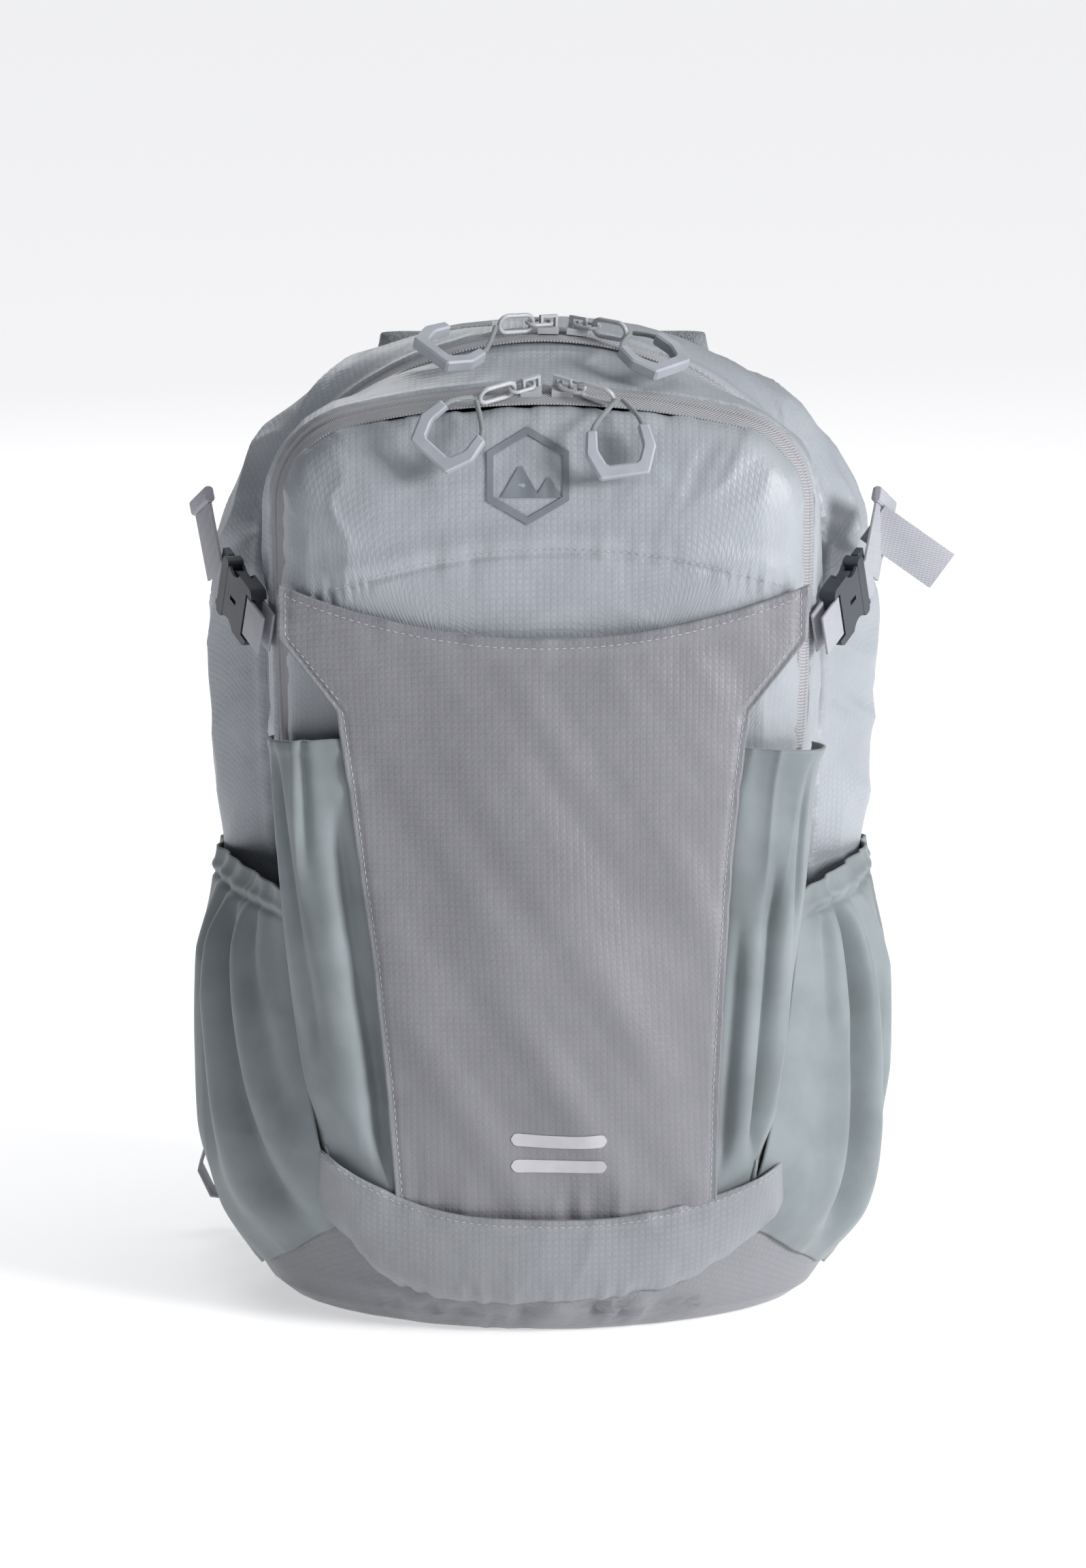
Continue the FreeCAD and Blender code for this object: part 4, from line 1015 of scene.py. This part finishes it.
def stitchRow(name, surface, points, towards=(0, 1, 0), pitch=None):
    heading = Vector(towards).normalized()
    landed = []
    for x, y, z in points:
        start = Vector((x, y, z)) * mm - heading * 0.12
        place, normal, _, _ = surface.ray_cast(start, heading, 0.4)
        if place is not None:
            landed.append((place, normal if normal.dot(heading) < 0 else -normal))
    verts, faces = [], []
    run, want = 0.0, 0.0
    every = (pitch or stitch["length"] + stitch["gap"]) * mm
    spots = []
    for (a, na), (b, nb) in zip(landed, landed[1:]):
        length = (b - a).length
        if length < 1e-6 or length > 0.02:
            continue
        while want <= run + length:
            share = (want - run) / length
            spots.append((a.lerp(b, share), na.lerp(nb, share).normalized(), (b - a).normalized()))
            want += every
        run += length
    half, wide = stitch["length"] / 2 * mm, stitch["width"] / 2 * mm
    for place, normal, heading2 in spots:
        crosswise = normal.cross(heading2).normalized()
        base = len(verts)
        centre = place + normal * stitch["lift"] * mm
        for share, size in ((-1, 0.25), (-0.6, 1.0), (0.6, 1.0), (1, 0.25)):
            for turn in range(6):
                spin = turn * math.pi / 3
                verts.append(centre + heading2 * half * share + crosswise * math.cos(spin) * wide * size
                             + normal * math.sin(spin) * wide * 0.8 * size)
        for ring in range(3):
            for turn in range(6):
                p, q = base + ring * 6 + turn, base + ring * 6 + (turn + 1) % 6
                faces.append((p, q, q + 6, p + 6))
        faces += [tuple(base + t for t in reversed(range(6))), tuple(base + 18 + t for t in range(6))]
    mesh = bpy.data.meshes.new(name)
    mesh.from_pydata([tuple(v) for v in verts], [], faces)
    mesh.update()
    piece = bpy.data.objects.new(name, mesh)
    bpy.context.scene.collection.objects.link(piece)
    alone(piece)
    bpy.ops.object.mode_set(mode="EDIT")
    bpy.ops.mesh.select_all(action="SELECT")
    bpy.ops.mesh.normals_make_consistent(inside=False)
    bpy.ops.object.mode_set(mode="OBJECT")
    bpy.ops.object.shade_smooth()
    return finishPiece(piece, stitchThread)


def straight(a, b, count=60):
    return [tuple(p) for p in np.linspace(a, b, count)]


domeSurface = surfaceOf(frontDome)
stashSurface = surfaceOf(stashFront)
kickSurface = surfaceOf(kickFront)
arcX = np.linspace(-108, 114, 200)
stitchRow("stitchArc", domeSurface, [(x, -110, domeArc(x) + 1.6) for x in arcX])
flapX = np.linspace(-119, 119, 220)
stitchRow("stitchFlap", stashSurface, [(x, -120, 338 + 23 * (x / 123) ** 2 - 4.5) for x in flapX])
for sideName, side in sides:
    key = "leftX" if side < 0 else "rightX"
    points = []
    for share in np.linspace(0.03, 0.795, 240):
        x = np.interp(share, stashEdges["v"], stashEdges[key]) - side * 3.0
        points.append((x, -120, np.interp(share, stashEdges["v"], stashEdges["edgeZ"])))
    stitchRow("stitchSide_" + sideName, stashSurface, points)
    stitchRow("stitchWing_" + sideName, stashSurface, straight((side * 96, -120, 309), (side * 120, -120, 337.5)))
    stitchRow("stitchWingEnd_" + sideName, stashSurface,
              straight((side * 120, -120, 338), (side * 120, -120, 356)))
kickX = np.linspace(-104, 111, 220)
kickTop = spline(kickShape["x"], kickShape["top"], kickX)
stitchRow("stitchKick", kickSurface, [(x, -125, z - 2.6) for x, z in zip(kickX, kickTop)])
print("stitches laid")


# ------ thin films on the cloth: reflective bars and a plain mark
def film(name, surface, outlines, material, lift=0.25, wall=0.35):
    verts, faces = [], []
    for outline in outlines:
        rows = []
        for x, z in outline:
            place, normal, _, _ = surface.ray_cast(Vector((x, -130, z)) * mm, Vector((0, 1, 0)), 0.3)
            rows.append(place + Vector((0, -1, 0)) * lift * mm)
        base = len(verts)
        verts += rows
        half = len(rows) // 2
        faces += [(base + i, base + i + 1, base + 2 * half - 2 - i, base + 2 * half - 1 - i)
                  for i in range(half - 1)]
    mesh = bpy.data.meshes.new(name)
    mesh.from_pydata([tuple(v) for v in verts], [], faces)
    piece = bpy.data.objects.new(name, mesh)
    bpy.context.scene.collection.objects.link(piece)
    alone(piece)
    bpy.ops.object.mode_set(mode="EDIT")
    bpy.ops.mesh.select_all(action="SELECT")
    bpy.ops.mesh.normals_make_consistent(inside=False)
    bpy.ops.object.mode_set(mode="OBJECT")
    if sum(p.normal.y for p in mesh.polygons) > 0:
        bpy.ops.object.mode_set(mode="EDIT")
        bpy.ops.mesh.flip_normals()
        bpy.ops.object.mode_set(mode="OBJECT")
    thick = piece.modifiers.new("wall", "SOLIDIFY")
    thick.thickness, thick.offset = wall * mm, 0.0
    applyModifiers(piece)
    bpy.ops.object.shade_smooth_by_angle(angle=math.radians(40))
    return finishPiece(piece, material)


def barOutline(x0, x1, z, half, dip):
    xs = np.linspace(x0, x1, 40)
    round_ = np.sqrt(np.clip(1 - np.clip((np.maximum(x0 + half - xs, xs - x1 + half)) / half, 0, 1) ** 2,
                             0.02, 1))
    sag = z - dip * np.sin(np.pi * (xs - x0) / (x1 - x0))
    return [(x, s + half * r) for x, s, r in zip(xs, sag, round_)] \
        + [(x, s - half * r) for x, s, r in zip(xs[::-1], sag[::-1], round_[::-1])]


film("reflectBars", stashSurface, [barOutline(-15, 30, 99.5, 3.1, 1.2), barOutline(-15, 30, 86.5, 3.1, 0.6)],
     reflector)


def hexOutline(cx, cz, outer, inner, perSide=8):
    corners = [np.array((math.cos(a), math.sin(a))) for a in np.radians(np.arange(90, 451, 60))]
    loop = np.concatenate([np.linspace(a, b, perSide, endpoint=False) for a, b in zip(corners, corners[1:])]
                          + [[corners[-1]]])
    return [(cx + outer * x, cz + outer * z) for x, z in loop] \
        + [(cx + inner * x, cz + inner * z) for x, z in loop[::-1]]


def peakOutline(cx, cz, half, high, count=12):
    xs = np.linspace(cx - half, cx + half, count)
    return [(x, cz + high * (1 - abs(x - cx) / half) + 0.3) for x in xs] + [(x, cz) for x in xs[::-1]]


film("plainMark", domeSurface, [hexOutline(-7, 412, 22, 18.5), peakOutline(-10.5, 402.5, 9, 15),
                                peakOutline(2.5, 402.5, 6, 9.5)], badgeFilm, 0.7)
print("films laid")

# ------ floor and lights
studio = {"floor": tone(242, 242, 244), "glow": 0.47, "world": 0.11, "key": 84.0, "rim": 16.0, "sky": 1.2}


def makeStudio():
    bpy.ops.object.select_all(action="DESELECT")
    bpy.ops.mesh.primitive_plane_add(size=60, location=(0, 0, -0.0002))
    floor = bpy.context.object
    floor.name = "floor"
    paper = plainFinish("floorPaper", studio["floor"], 0.85, 20.0, 0.01, spread=0.01)
    shader = next(n for n in paper.node_tree.nodes if n.type == "BSDF_PRINCIPLED")
    shader.inputs["Emission Color"].default_value = (1, 1, 1, 1)
    shader.inputs["Emission Strength"].default_value = studio["glow"]
    floor.data.materials.append(paper)
    world = bpy.data.worlds.new("studio")
    bpy.context.scene.world = world
    world.use_nodes = True
    world.node_tree.nodes["Background"].inputs[0].default_value = (0.93, 0.95, 1.0, 1)
    world.node_tree.nodes["Background"].inputs[1].default_value = studio["world"]
    bpy.context.scene.view_settings.view_transform = "Standard"
    lamps = [("key", (2.3, -1.5, 1.15), 0.8, (1.0, 0.985, 0.98)), ("rim", (-0.7, 2.2, 1.7), 1.2, (1, 1, 1))]
    for name, place, size, colour in lamps:
        bpy.ops.object.light_add(type="AREA", location=place)
        lamp = bpy.context.object
        lamp.name = name
        lamp.data.energy, lamp.data.size, lamp.data.color = studio[name], size, colour
        lamp.rotation_euler = (Vector((0, 0, 0.24)) - Vector(place)).to_track_quat("-Z", "Y").to_euler()
    bpy.ops.object.light_add(type="SUN", location=(0, 0, 4))
    sky = bpy.context.object
    sky.name = "sky"
    sky.data.energy, sky.data.angle = studio["sky"], math.radians(70)
    sky.rotation_euler = Vector((-0.30, 0.12, -1)).to_track_quat("-Z", "Y").to_euler()


makeStudio()
print("studio made")
